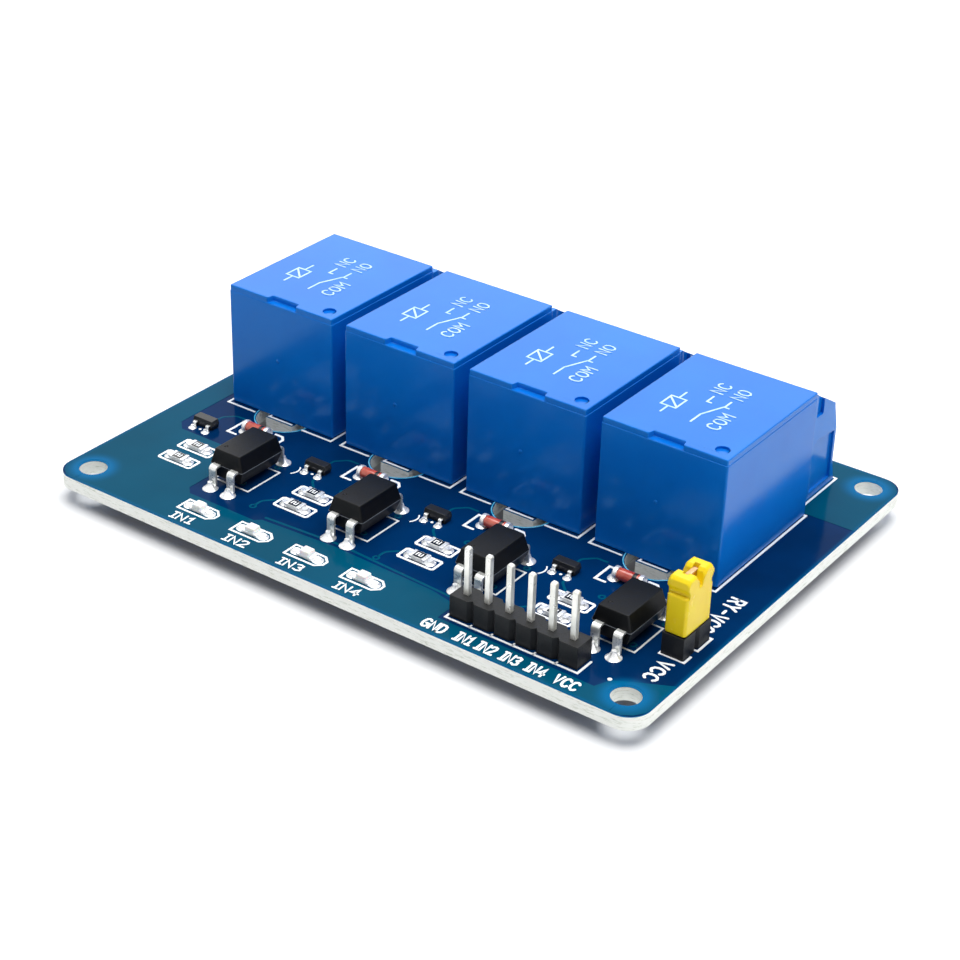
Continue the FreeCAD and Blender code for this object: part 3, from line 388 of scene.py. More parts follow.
upper_row, lower_row = RESISTOR_ROWS
signals = [track([(-13.1, -21.2), (-3.6, -20.55), (12.7, -21.4)], 0.35)]
for k, (x, small) in enumerate(zip(centres, transistors)):
    # the first channel's resistors stand on the front pour, so they need no tracks there
    if k:
        signals.append(track(
            [(x - 4.6, lower_row), (x - 5.5, lower_row), (x - 6.6, -18.75), (x - 6.6, -19.9)], TRACK,
        ))
        signals.append(track(
            [(small + 3.4, upper_row), (small + 0.95, -12.1), (small + 0.95, -11.2)], TRACK,
        ))
    signals.append(track(
        [(small, -8.6), (small, -7.2), (small + 1.2, -6.0), (small + 2.6, -6.0)], TRACK,
    ))
clear_of_pour = -25
vias = [
    (x + dx, y) for x in centres
    for dx, y in ((6.9, -12.2), (-6.6, -20.2), (6.2, -17.2), (-0.9, -11.9))
    if x + dx > clear_of_pour
]
# Mask over copper: a lighter, greener blue, partly because the metal reflects through the pigment, and
# partly as painted light, lighter where the board lies open away from the shade of the relays.
copper_finish, tree, shader, place = surface(
    "blue_solder_mask_on_copper", ("#01465f", "#014d69"), 14.0, (0.08, 0.16), 1.6, 0.006,
    sockets=mask_gloss,
)
# the same painted glow near the holes and the board's edge
painted_glow(tree, shader, place)
via_section = [(-0.12, 0), (0.12, 0), (0.08, FOIL), (-0.08, FOIL)]
via_rings = [
    sweep([(a, b, top) for a, b in arc(via, 0.32, 0, 330, 12)], (0, 0, 1), via_section, closed=True)
    for via in vias
]
pours = [plate(outline, top, top + FOIL) for outline in (front_pour, back_pour)]
make_piece("copper_under_mask", pours + signals + via_rings, copper_finish, "board")

# The legend: white epoxy ink, screen printed on the mask in lines 0.16 to 0.3 mm wide. Its
# words name the connections alone. A letter is strokes through points in a box 1 unit high.

INK = 0.05
FINE, LINE, BOLD = 0.2, 0.26, 0.3
RELAY_FRONT, RELAY_BACK = -3.97, 15.22
TERMINAL_FRONT, TERMINAL_BACK = 16.0, 24.54
diodes = row(-25.65, 16.72)
lamps = row(-19.55, 7.47)
LETTERS = {
    "I": [[(0, 0), (0.34, 0)], [(0, 1), (0.34, 1)], [(0.17, 0), (0.17, 1)]],
    "N": [[(0, 0), (0, 1), (0.52, 0), (0.52, 1)]],
    "1": [[(0.06, 0.78), (0.26, 1), (0.26, 0)], [(0.06, 0), (0.46, 0)]],
    "2": [[(0.02, 0.8), (0.1, 0.95), (0.27, 1), (0.46, 0.93), (0.51, 0.74), (0.42, 0.52),
           (0.02, 0), (0.53, 0)]],
    "3": [[(0.03, 0.9), (0.26, 1), (0.48, 0.9), (0.48, 0.66), (0.26, 0.53)],
          [(0.26, 0.53), (0.5, 0.4), (0.52, 0.14), (0.27, 0), (0.02, 0.1)]],
    "4": [[(0.4, 0), (0.4, 1), (0, 0.32), (0.56, 0.32)]],
    "G": [[(0.5, 0.84), (0.4, 0.96), (0.25, 1), (0.08, 0.88), (0, 0.62), (0, 0.38),
           (0.08, 0.12), (0.25, 0), (0.42, 0.04), (0.52, 0.16), (0.52, 0.46), (0.3, 0.46)]],
    "D": [[(0, 0), (0, 1), (0.28, 1), (0.45, 0.9), (0.53, 0.65), (0.53, 0.35), (0.45, 0.1),
           (0.28, 0), (0, 0)]],
    "V": [[(0, 1), (0.26, 0), (0.52, 1)]],
    "C": [[(0.52, 0.82), (0.42, 0.95), (0.27, 1), (0.08, 0.88), (0, 0.62), (0, 0.38),
           (0.08, 0.12), (0.27, 0), (0.42, 0.05), (0.52, 0.18)]],
    "R": [[(0, 0), (0, 1), (0.34, 1), (0.5, 0.88), (0.5, 0.64), (0.34, 0.5), (0, 0.5)],
          [(0.26, 0.5), (0.52, 0)]],
    "Y": [[(0, 1), (0.26, 0.5), (0.52, 1)], [(0.26, 0.5), (0.26, 0)]],
    "O": [[(0.27, 1), (0.08, 0.88), (0, 0.62), (0, 0.38), (0.08, 0.12), (0.27, 0), (0.46, 0.12),
           (0.54, 0.38), (0.54, 0.62), (0.46, 0.88), (0.27, 1)]],
    "M": [[(0, 0), (0, 1), (0.3, 0.45), (0.6, 1), (0.6, 0)]],
    "-": [[(0.08, 0.46), (0.44, 0.46)]],
}


def stroke(points, width, closed=False, z=None, high=INK):
    """A printed line with round ends: there its width is the cosine, and its reach the sine,
    of a quarter turn. It lies at a height z, the board's top unless given."""
    z = top if z is None else z
    path = np.array([(x, y, z) for x, y in points], float)
    section = [(-width / 2, 0), (width / 2, 0), (width / 2, high), (-width / 2, high)]
    if closed:
        return sweep(path, (0, 0, 1), section, closed=True)
    turn = np.radians([80, 60, 40, 20])
    start = path[0] - path[1]
    start /= np.linalg.norm(start)
    end = path[-1] - path[-2]
    end /= np.linalg.norm(end)
    reach = (np.sin(turn) * width / 2)[:, None]
    path = np.concatenate([path[0] + reach * start, path, path[-1] + reach[::-1] * end])
    lean = np.cos(turn)
    sizes = np.concatenate([lean, np.ones(len(points)), lean[::-1]])
    skin, faces = sweep(path, (0, 0, 1), section, scale=sizes)
    skin[:, 2] = np.where(skin[:, 2] > z + 1e-9, z + high, z)
    return skin, faces


def words(text, start, size, width, turn=0.0, spread=1.0, z=None):
    """Stroked letters on a surface, from a start point, turned by an angle in degrees. Later
    strokes of a letter lie 0.004 higher, so that crossing faces don't flicker."""
    skins = []
    along = np.array([math.cos(math.radians(turn)), math.sin(math.radians(turn))])
    upward = np.array([-along[1], along[0]])
    across = 0.0
    for letter in text:
        for rank, shape in enumerate(LETTERS[letter]):
            shape = np.array(shape) * (spread, 1.0)
            shape[:, 0] += across
            spots = np.array(start) + size * (shape[:, :1] * along + shape[:, 1:] * upward)
            skins.append(stroke(spots, width, z=z, high=INK + 0.004 * rank))
        across += spread * (0.52 if letter in "I1" else 0.76)
    return skins


def dot(x, y, radius):
    """A printed dot."""
    return plate(arc((x, y), radius, 0, 330, 12), top, top + INK)


ink = []
clip = 0.16
for k, x in enumerate(centres):
    chip, diode, lamp = optocouplers[k], diodes[k], lamps[k]
    # round the relay up to its slot, on its island, and up both sides of the terminal
    ink.append(stroke(
        [(x - 3.7, RELAY_FRONT), (x - 7.7, RELAY_FRONT), (x - 7.7, RELAY_BACK),
         (x + 7.7, RELAY_BACK), (x + 7.7, RELAY_FRONT), (x + 3.55, RELAY_FRONT)], LINE,
    ))
    ink.append(stroke([(x - 1.6, -3.3), (x - 1.6, -3.72), (x + 1.6, -3.72)], FINE))
    for inner, side in ((x + 5.8, x + 6.45), (x - 8.6, x - 9.25)):
        ink.append(stroke(
            [(inner, TERMINAL_BACK), (side, TERMINAL_BACK), (side, TERMINAL_FRONT)], LINE,
        ))
    # round the optocoupler, with an arc by its transistor
    ink.append(stroke(
        [(chip - 2.4, -18.3), (chip + 2.4, -18.3), (chip + 2.4, -13.0), (chip - 2.4, -13.0)],
        FINE, closed=True,
    ))
    ink.append(stroke(arc((chip + 2.5, -11.5), 1.25, -40, 40, 7), width=0.16))
    # round the two resistors, a box with its corners cut
    for y in RESISTOR_ROWS:
        x0, x1, y0, y1 = resistors[k] - 2.28, resistors[k] + 2.28, y - 0.92, y + 0.92
        ink.append(stroke(
            [(x0 + clip, y0), (x1 - clip, y0), (x1, y0 + clip), (x1, y1 - clip), (x1 - clip, y1),
             (x0 + clip, y1), (x0, y1 - clip), (x0, y0 + clip)], BOLD, closed=True,
        ))
    # a bracket at each end of the diode
    ink.append(stroke(
        [(diode - 2.2, -6.6), (diode - 3.31, -6.6), (diode - 3.31, -9.4), (diode - 2.1, -9.4)], BOLD,
    ))
    ink.append(stroke(
        [(diode + 1.5, -6.6), (diode + 2.5, -6.6), (diode + 3.0, -7.15), (diode + 3.0, -8.85),
         (diode + 2.5, -9.4), (diode + 1.9, -9.4)], BOLD,
    ))
    # round the lamp, a box with two corners cut, and its word
    ink.append(stroke(
        [(lamp - 2.3, -25.4), (lamp + 1.7, -25.4), (lamp + 2.4, -24.75), (lamp + 2.4, -24.05),
         (lamp + 1.7, -23.4), (lamp - 2.3, -23.4)], LINE, closed=True,
    ))
    ink += words(f"IN{k + 1}", (lamp - 1.7, -27.35), size=1.15, width=0.22, turn=2, spread=1.4)
# the control header's outline has a tick between its cells
ink.append(stroke([(13.44, -24.0), (13.44, -24.65), (29.21, -24.65), (29.21, -22.26)], LINE))
ink += [stroke([(x, -24.65), (x, -24.3)], FINE) for x in (16.4, 18.93, 21.59, 24.06, 26.65)]
for word, x, spread in (
    ("GND", 12.25, 0.9), ("IN1", 16.3, 0.78), ("IN2", 18.9, 0.78), ("IN3", 21.8, 0.78),
    ("IN4", 24.8, 0.78), ("VCC", 28.0, 0.88),
):
    ink += words(word, (x, -27.3), size=1.4, width=0.28, spread=spread)
# the jumper's outline is two brackets, with a word at each end
ink.append(stroke([(33.6, -16.1), (33.6, -16.86), (36.4, -16.86), (36.4, -15.6)], LINE))
ink.append(stroke([(36.0, -14.3), (36.4, -14.3), (36.4, -11.6), (33.6, -11.6), (33.6, -12.4)], LINE))
ink += words("VCC", (34.4, -17.8), size=1.4, width=BOLD, turn=-90, spread=1.2)
ink += words("RY-VCC", (34.2, -3.83), size=1.6, width=BOLD, turn=-90)
ink.append(dot(32.2, -23.55, radius=0.24))
ink += [dot(x, -11.0, radius=0.17) for x in transistors]
# Screen ink: flat white with a faint tooth from the mesh, 0.15 mm.
ink_finish = surface(
    "white_legend_ink", ("#eef2f4", "#ffffff"), 2.0, (0.45, 0.6), 0.15, 0.004
)[0]
make_piece("printed_legend", ink, ink_finish, "board")

# The isolation slots: routed through the laminate, so each island's rim shows a cut edge that the mask
# doesn't reach, pale on top, with a painted highlight of bright blue along the outer nose.

SLOT_MIDDLE, SLOT_RADIUS = -2.8, 3.55
BAR_HALF, BAR_FRONT, BAR_BACK = 1.8, -3.85, -3.6
noses = [arc((x, SLOT_MIDDLE), SLOT_RADIUS, 180, 360, 30) for x in centres]
rims = [stroke(nose, width=0.14, high=0.04) for nose in noses]
# Cut edge of the mask: thin, with a painted highlight, coloured a bright cyan for the light it catches
# from the slot's wall.
rim_highlight_finish = surface(
    "cut_edge_of_blue_mask_painted_highlight", ("#3fb4e0", "#7fd2ee"), 1.0, (0.2, 0.3), 0.4, 0.004,
)[0]
make_piece("slot_rims_painted_highlight", rims, rim_highlight_finish, "board")
# A short white bar on each island, just inside its nose.
islands = []
for x in centres:
    left, right = x - BAR_HALF, x + BAR_HALF
    bar = [(left, BAR_FRONT), (right, BAR_FRONT), (right, BAR_BACK), (left, BAR_BACK)]
    islands.append(plate(bar, top, top + 0.03))
make_piece("slot_islands", islands, ink_finish, "board")

# The relays: cases moulded in glossy blue polyester, with a lid welded in along a seam, a
# notch for the fingers in front, a vent dimple, and a pin diagram printed on top.

# The lid starts "lid" below its top and "step" in from the walls, with "print" left above it
# for the ink. The notch in its front runs between the two values of "notch".
CASE = {
    "corner": 0.25, "rim": 0.12, "lid": 0.66, "step": 0.07, "print": 0.06,
    "notch": (-1.88, 2.28), "notch_end": 0.22, "notch_depth": 0.8,
}
VENT_FROM_MIDDLE = 5.8
VENT_FROM_FRONT = 1.75
VENT = ((0.82, 0.0), (0.77, 0.04), (0.77, 0.3), (0.66, 0.33))
GATE = [(0.24, -0.05), (0.24, 0.03), (0.16, 0.07), (0.05, 0.08)]
GATE_HEIGHT = 7.4


def level(ring, z):
    """A flat ring lifted to a height."""
    return np.c_[ring, np.full(len(ring), z)]


def dimpled(rings, centre, drops, count=24):
    """A loft whose last flat face has a round recess. The face is two halves that meet in
    front of the recess and behind it, and drops are the recess's radii and depths."""
    points, faces = loft(rings)
    peak = rings[-1][0][2]
    turn = np.radians(np.arange(count) * 360 / count - 90)
    circles = [
        np.c_[centre[0] + radius * np.cos(turn), centre[1] + radius * np.sin(turn),
              np.full(count, peak - drop)] for radius, drop in drops
    ]
    bowl, sides = loft(circles)
    edge = rings[-1][:, :2] - centre
    size = len(edge)
    start = len(points) - size
    # the flat face's own ring is split at its foremost and rearmost points
    ahead = np.arctan2(edge[:, 1], edge[:, 0])
    front = int(np.abs(ahead + np.pi / 2).argmin())
    rear = int(np.abs(ahead - np.pi / 2).argmin())
    inner = len(points)
    half = count // 2
    right = [start + (front + i) % size for i in range((rear - front) % size + 1)]
    left = [start + (rear + i) % size for i in range((front - rear) % size + 1)]
    right += [inner + i for i in range(half, -1, -1)]
    left += [inner + i % count for i in range(count, half - 1, -1)]
    # the undivided flat face and the mouth of the bowl are left out
    faces = faces[:-1] + [[i + inner for i in side] for side in sides if side != sides[-2]]
    return np.concatenate([points, bowl]), faces + [right, left]


def round_edge(inset, z, radius, steps=5, upward=True):
    """Insets and heights along a quarter circle at an edge: 1 - cos in and sin up."""
    turn = np.radians(np.linspace(0, 90, steps))
    if upward:
        return list(zip(inset + radius * (1 - np.cos(turn)), z - radius + radius * np.sin(turn)))
    return list(zip(inset + radius * (1 - np.cos(turn)), z + radius - radius * np.sin(turn)))[::-1]


def case_skin(low, high):
    """The outside of a case, from the sealed recess below it up to the floor of its vent. The
    notch in the lid's front goes in by a smooth step, 3 t squared less 2 t cubed, at each end."""
    middle = (low + high)[:2] / 2
    width, depth = (high - low)[:2] / 2
    across = np.array([-1.95, -1.82, -1.7, -1.62, -0.5, 0.8, 2.02, 2.1, 2.22, 2.35])
    first, last = CASE["notch"]

    def ring(inset, notch, z):
        radius = max(CASE["corner"] - inset, 0.03)
        loop = rounded((inset - width, inset - depth), (width - inset, depth - inset), radius, 6)
        front = np.c_[across, np.full(len(across), inset - depth)]
        reach = np.clip(np.minimum(across - first, last - across) / CASE["notch_end"], 0, 1)
        front[:, 1] += notch * reach * reach * (3 - 2 * reach)
        cut = np.flatnonzero((loop[:, 0] < 0) & (loop[:, 1] < 0))[-1] + 1
        return level(np.concatenate([loop[:cut], front, loop[cut:]]) + middle, z)

    base, peak = low[2], high[2] - CASE["print"]
    lid = peak - CASE["lid"]
    step = CASE["step"]
    notch = CASE["notch_depth"]
    rings = [
        ring(0.9, 0, base + 0.45), ring(0.9, 0, base), ring(0.15, 0, base),
        ring(0.02, 0, base + 0.12), ring(0, 0, base + 0.3), ring(0, 0, lid - 0.08),
        ring(0.03, 0, lid - 0.02), ring(step, 0, lid), ring(step, 0, lid + 0.03),
        ring(step, 0.7, lid + 0.05), ring(step, notch, lid + 0.1),
    ]
    rings += [ring(inset, notch, z) for inset, z in round_edge(step, peak, CASE["rim"])]
    rings += [ring(step + CASE["rim"] + 0.06, 0.75, peak), ring(0.95, 0.1, peak)]
    return dimpled(rings, middle + (VENT_FROM_MIDDLE, VENT_FROM_FRONT - depth), VENT)


# Glossy injection moulded polyester: saturated mid blue, smooth, with only faint flow
# marks, so that it mirrors the white studio at a low angle.
blue_gloss = {"IOR": 1.34, "Specular Tint": linear("#a8f0ff")}
relay_finish = surface(
    "blue_moulded_polyester", ("#066acb", "#0871d2"), 11.0, (0.13, 0.2), 0.9, 0.002,
    sockets=blue_gloss,
)[0]


def turned(profile, centre, axis=2, count=20, stretch=(1.0, 1.0)):
    """A profile of radii and heights turned round an axis. Stretch makes its circles oval. The
    heights go upwards, along the board for axis 0, and towards the front for axis 1."""
    profile = np.asarray(profile, float)
    turn = np.radians(np.arange(count) * 360 / count)
    rings = np.empty((len(profile), count, 3))
    rings[:, :, 0] = profile[:, :1] * np.cos(turn) * stretch[0]
    rings[:, :, 1] = profile[:, :1] * np.sin(turn) * stretch[1]
    rings[:, :, 2] = profile[:, 1:]
    if axis == 0:
        rings = rings[:, :, [2, 0, 1]]
    if axis == 1:
        rings = rings[:, :, [0, 2, 1]] * (1, -1, 1)
    return loft(rings + np.asarray(centre, float))


diagram = []
for k in (1, 2, 3, 4):
    low, high = (1000 * np.array(corner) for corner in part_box(f"relay_case_{k}"))
    gate = turned(GATE, (centres[k - 1] - 0.4, low[1], top + GATE_HEIGHT), axis=1, count=14)
    make_piece(
        f"relay_{k}", [case_skin(low, high), gate], relay_finish, "board",
        (f"relay_case_{k}",),
    )
    x, y = ((low + high) / 2)[:2]
    lid = high[2] - CASE["print"]
    # the coil's leads, its box and the slash in it, then the contacts: moving, closed and open
    lines = [
        [(x - 3.4, y - 4.6), (x - 3.4, y - 3.1), (x - 2.5, y - 3.1), (x - 2.5, y - 0.9),
         (x - 3.4, y - 0.9), (x - 3.4, y + 0.6)],
        [(x - 3.4, y - 3.1), (x - 4.3, y - 3.1), (x - 4.3, y - 0.9), (x - 3.4, y - 0.9)],
        [(x - 4.3, y - 1.1), (x - 2.5, y - 2.9)],
        [(x + 0.2, y - 4.6), (x + 0.2, y - 2.6), (x + 1.3, y + 0.2)],
        [(x - 0.7, y + 1.6), (x - 0.7, y + 0.2), (x - 0.2, y + 0.2)],
        [(x + 1.9, y + 0.2), (x + 1.4, y + 0.2), (x + 1.4, y + 1.6)],
    ]
    diagram += [stroke(line, 0.22, z=lid, high=0.012 + 0.002 * i) for i, line in enumerate(lines)]
    for word, dx, dy in (("COM", 3.4, -4.6), ("NC", -0.2, 2.5), ("NO", 2.2, 2.5)):
        diagram += words(word, (x + dx, y + dy), size=1.45, width=0.2, turn=90, spread=1.15, z=lid)
# Pad printed ink: white, so thin that a little of the blue shows through.
pad_ink = surface(
    "thin_white_pad_ink", ("#a9d0f4", "#c3e0fa"), 1.2, (0.4, 0.5), 0.15, 0.003
)[0]
make_piece("relay_print", diagram, pad_ink, "board")

# The relays' pins and the solder below the board: bright tinned copper in cones of solder
# that wet both the pin and its ring of copper.

# Reflowed tin alloy: bright and mirror like, slightly frosted where it froze.
solder_finish = surface(
    "reflowed_solder", ("#eef0f2", "#ffffff"), 0.8, (0.22, 0.36), 0.5, 0.005,
    sockets={"Metallic": 0.55},
)[0]
# Tin plated copper strip: pale grey with a soft sheen. Its rolling marks are too fine to
# show, so they are drawn as a coarser grain.
tin_finish = surface(
    "tin_plated_copper", ("#e0e2df", "#f4f5f1"), 1.5, (0.24, 0.38), 0.5, 0.002,
    edge=0.05, sockets={"Metallic": 0.6},
)[0]
coat(tin_finish, "relay_pins", *[f"terminal_contacts_{k}" for k in (1, 2, 3, 4)])

RELAY_FEET = ((0, -1.6), (-6, 0.4), (6, 0.4), (-6, 12.6), (6, 12.6))
POLE_PITCH = 5
feet = []
for x in centres:
    feet += [(x + dx, y) for dx, y in RELAY_FEET]
    feet += [(x - 1.4 + step, 16.9) for step in (-POLE_PITCH, 0, POLE_PITCH)]
control_pins = [(x, -23.0) for x in row(14.9, 2.54, 6)]
jumper_pins = [(34.93, y) for y in row(-15.52, 2.54, 2)]
tails = control_pins + jumper_pins
PAD = 0.04


def cone(spot, foot, tip, height):
    """Solder under the board: a concave cone. Its radius goes from foot to tip by the height
    that is left, raised to the power 2.2."""
    rise = np.linspace(0, 1, 7)
    radii = tip + (foot - tip) * (1 - rise) ** 2.2
    return turned(
        np.c_[radii[::-1], (under - height * rise)[::-1]], (spot[0], spot[1], 0.0), count=16
    )


joints = [cone(spot, foot=1.25, tip=0.55, height=1.5) for spot in feet]
joints += [cone(spot, foot=0.85, tip=0.42, height=1.3) for spot in tails]
make_piece("underside_solder", joints, solder_finish, "board")
# Rings of copper round the pins, tinned by the same solder.
pads = [
    turned([(radius, under - PAD), (radius, under)], (x, y, 0.0))
    for radius, spots in ((1.45, feet), (1.0, tails)) for x, y in spots
]
make_piece("underside_pads", pads, solder_finish, "board")

# The screw terminals: housings moulded in the same blue, each with three screws of zinc
# plated steel, three nickel plated clamps that rise as they turn, and bent contacts.

# Moulded nylon: the relays' blue a shade lighter, with softer reflections and rounder edges.
terminal_finish = surface(
    "blue_moulded_nylon", ("#0a70cf", "#0f77d6"), 8.0, (0.14, 0.22), 1.2, 0.002,
    edge=0.12, sockets=blue_gloss,
)[0]
# Zinc plated steel: bright with a cool tint, burnished by its drawing and heading dies.
screw_finish = surface(
    "zinc_plated_steel", ("#a9afb2", "#c6cbcd"), 1.6, (0.26, 0.38), 0.5, 0.0015,
    edge=0.12, sockets={"Metallic": 1.0},
)[0]
# Nickel plated steel: warmer and brighter than the zinc, and a little smoother.
clamp_finish = surface(
    "nickel_plated_steel", ("#c2bfb6", "#dad7ce"), 1.8, (0.24, 0.34), 0.6, 0.0015,
    edge=0.1, sockets={"Metallic": 1.0},
)[0]
coat(terminal_finish, *[f"terminal_housing_{k}" for k in (1, 2, 3, 4)])
for k in (1, 2, 3, 4):
    for side in ("left", "middle", "right"):
        coat(screw_finish, f"terminal_screw_{k}_{side}")
        coat(clamp_finish, f"wire_clamp_{k}_{side}")

# The optocouplers: black epoxy bodies moulded in two drafted halves, with a thin flash line
# at the seam and a dimple beside the first lead. Their leads are rolled and bent strip.

CHIP_SIZE = (4.6, 6.8)
CHIP_BASE, CHIP_SEAM, CHIP_PEAK = top + 0.9, top + 2.45, top + 4.25
CHIP_ROW = -15.65
LEAD_STEP = 1.27


def drafted(x, y, size, heights, lean, corner, edge):
    """A block widest at its seam. Each half narrows evenly by its lean to its rounded end."""
    base, seam, peak = heights
    size, lean = np.array(size) / 2, np.array(lean)
    stops = [(lean, base), (0.02, seam - 0.05), (0.0, seam - 0.03), (0.0, seam + 0.03),
             (0.02, seam + 0.05)]
    share = 1 - edge / (peak - seam)
    stops += [
        (lean * share + edge * (1 - math.cos(t)), peak - edge + edge * math.sin(t))
        for t in np.radians((0, 25, 50, 72, 90))
    ]
    return [level(rounded(inset - size, size - inset, corner) + (x, y), z) for inset, z in stops]


def gull(x, y, out, heights, half_depth, reach, foot, thick, bend, width):
    """A lead's strip along its middle line: out at the seam, down, and along the board."""
    seam, base = heights
    line = [
        (x, y + out * (half_depth - 0.1), seam), (x, y + out * (half_depth + reach - thick / 2), seam),
        (x, y + out * (half_depth + reach - thick / 2), base + thick / 2),
        (x, y + out * (half_depth + reach + foot), base + thick / 2),
    ]
    # a hair thin, so that its foot doesn't share a plane with the board
    half = thick / 2 * 0.999
    section = [(-half, -width / 2), (half, -width / 2), (half, width / 2), (-half, width / 2)]
    return sweep(bent(line, bend, 6), (1, 0, 0), section)


def fillet(x, y, length, width, high, flat=0.35):
    """Solder on a pad: an oval mound whose radius goes from 1 to its flat share by the height
    that is left, raised to the power 1.8."""
    rise = np.linspace(0, 1, 6)
    radii = flat + (1 - flat) * (1 - rise) ** 1.8
    profile = np.c_[np.r_[1.0, radii], top + np.r_[0.0, PAD + (high - PAD) * rise]]
    return turned(profile, (x, y, 0.0), count=20, stretch=(width / 2, length / 2))


# Transfer moulded epoxy: near black with a satin skin of fine filler, 0.1 mm, and a paler
# flash line where the mould closes.
chip_finish, tree, shader, place = surface(
    "black_moulded_epoxy", ("#07080a", "#0c0e11"), 3.0, (0.3, 0.42), 0.2, 0.003,
    sockets={"IOR": 1.25},
)
FLASH = 0.045
line_height = node(tree, "ShaderNodeSeparateXYZ", (), {0: place})
flash = node(
    tree, "ShaderNodeMath", {"operation": "COMPARE", 1: CHIP_SEAM / 1000, 2: FLASH / 1000},
    {0: line_height.outputs["Z"]},
)
over(tree, shader, flash.outputs[0], flash.outputs[0], ("#5b6066", "#6d7278"))
leads, chip_solder = [], []
for k, x in enumerate(optocouplers, 1):
    y = CHIP_ROW
    rings = drafted(x, y, CHIP_SIZE, (CHIP_BASE, CHIP_SEAM, CHIP_PEAK), (0.55, 0.25), 0.2, 0.12)
    body = dimpled(rings, (x - 1.0, y - 2.1), ((0.25, 0.0), (0.22, 0.03), (0.15, 0.07)), 16)
    make_piece(
        f"optocoupler_body_{k}", [body], chip_finish, "board",
        (f"optocoupler_{k}",), crease=30,
    )
    for out in (-1, 1):
        for step in (-LEAD_STEP, LEAD_STEP):
            leads.append(gull(
                x + step, y, out, (CHIP_SEAM, top), half_depth=CHIP_SIZE[1] / 2, reach=0.85,
                foot=0.75, thick=0.25, bend=0.45, width=0.95,
            ))
            chip_solder.append(fillet(
                x + step, y + out * 4.62, length=1.75, width=1.75, high=0.85, flat=0.3,
            ))
make_piece("optocoupler_strips", leads, tin_finish, "board", ("optocoupler_leads",))

# The transistors: small blocks moulded in the same black epoxy, on three feet of tinned strip,
# two in front and one behind, that are soldered flat to their pads.

BLOCK_SIZE = (2.9, 1.3)
BLOCK_BASE, BLOCK_SEAM, BLOCK_PEAK = top + 0.08, top + 0.6, top + 1.15
BLOCK_ROW = -9.95
bodies, legs = [], []
for x in transistors:
    y = BLOCK_ROW
    bodies.append(loft(drafted(
        x, y, BLOCK_SIZE, (BLOCK_BASE, BLOCK_SEAM, BLOCK_PEAK), (0.1, 0.1), 0.06, 0.06,
    )))
    for out, step in ((-1, -0.95), (-1, 0.95), (1, 0.0)):
        legs.append(gull(
            x + step, y, out, (BLOCK_SEAM, top), half_depth=BLOCK_SIZE[1] / 2, reach=0.35,
            foot=0.35, thick=0.13, bend=0.14, width=0.42,
        ))
        chip_solder.append(fillet(x + step, y + out * 1.3, length=0.95, width=0.95, high=0.4))
# The same epoxy in a small mould: a little duller, because its grain stands out more.
small_finish = surface(
    "black_moulded_epoxy_small", ("#08090b", "#0f1113"), 2.0, (0.34, 0.48), 0.12, 0.004
)[0]
make_piece("transistor_blocks", bodies, small_finish, "board",
           ("transistor_bodies",), crease=30)
make_piece("transistor_strips", legs, tin_finish, "board", ("transistor_leads",))

# The diodes: red orange glass tubes over a fused junction, with silvered end caps, a black
# band at the cathode end and solder that climbs each cap.

TUBE = [(0.6, -1.25), (0.66, -1.2), (0.68, -1.0), (0.68, 1.0), (0.66, 1.2), (0.6, 1.25)]
BAND = [(0.681, 0.55), (0.69, 0.57), (0.69, 0.98), (0.681, 1.0)]
RIGHT_CAP = [(0.66, 1.25), (0.735, 1.29), (0.75, 1.36), (0.75, 1.66), (0.72, 1.72), (0.62, 1.75)]
LEFT_CAP = [(radius, -along) for radius, along in reversed(RIGHT_CAP)]
DIODE_ROW, DIODE_AXIS = -8.1, top + 0.75
tubes, caps, bands = [], [], []
for x in diodes:
    middle = (x, DIODE_ROW, DIODE_AXIS)
    tubes.append(turned(TUBE, middle, axis=0, count=28))
    bands.append(turned(BAND, middle, axis=0, count=28))
    for out, profile in ((-1, LEFT_CAP), (1, RIGHT_CAP)):
        caps.append(turned(profile, middle, axis=0, count=28))
        chip_solder.append(fillet(
            x + out * 1.75, DIODE_ROW, length=1.7, width=1.5, high=0.75, flat=0.3,
        ))
# Sealed glass over the red oxide of its lead: deep orange red under a clear, hard gloss.
glass_finish = surface(
    "red_diode_glass", ("#b43a28", "#cf6049"), 1.2, (0.05, 0.1), 0.6, 0.002,
    sockets={"IOR": 1.52, "Coat Weight": 0.6, "Coat Roughness": 0.03},
)[0]
make_piece("diode_tubes", tubes, glass_finish, "board", ("diode_glass",))
make_piece("diode_bands", bands, small_finish, "board")
make_piece("diode_end_caps", caps, solder_finish, "board", ("diode_caps",))

# The chip resistors: white ceramic slabs with a black glazed window that carries generic
# white bars, and plated ends soldered to their pads.


def slab(x, y, size, low, high, edge, corner=0.05):
    """A block whose upper and lower edges follow a quarter circle."""
    half = np.array(size) / 2
    levels = round_edge(0, low, edge, 4, upward=False) + round_edge(0, high, edge, 4)
    return loft([level(rounded(inset - half, half - inset, corner, 3) + (x, y), z)
                 for inset, z in levels])


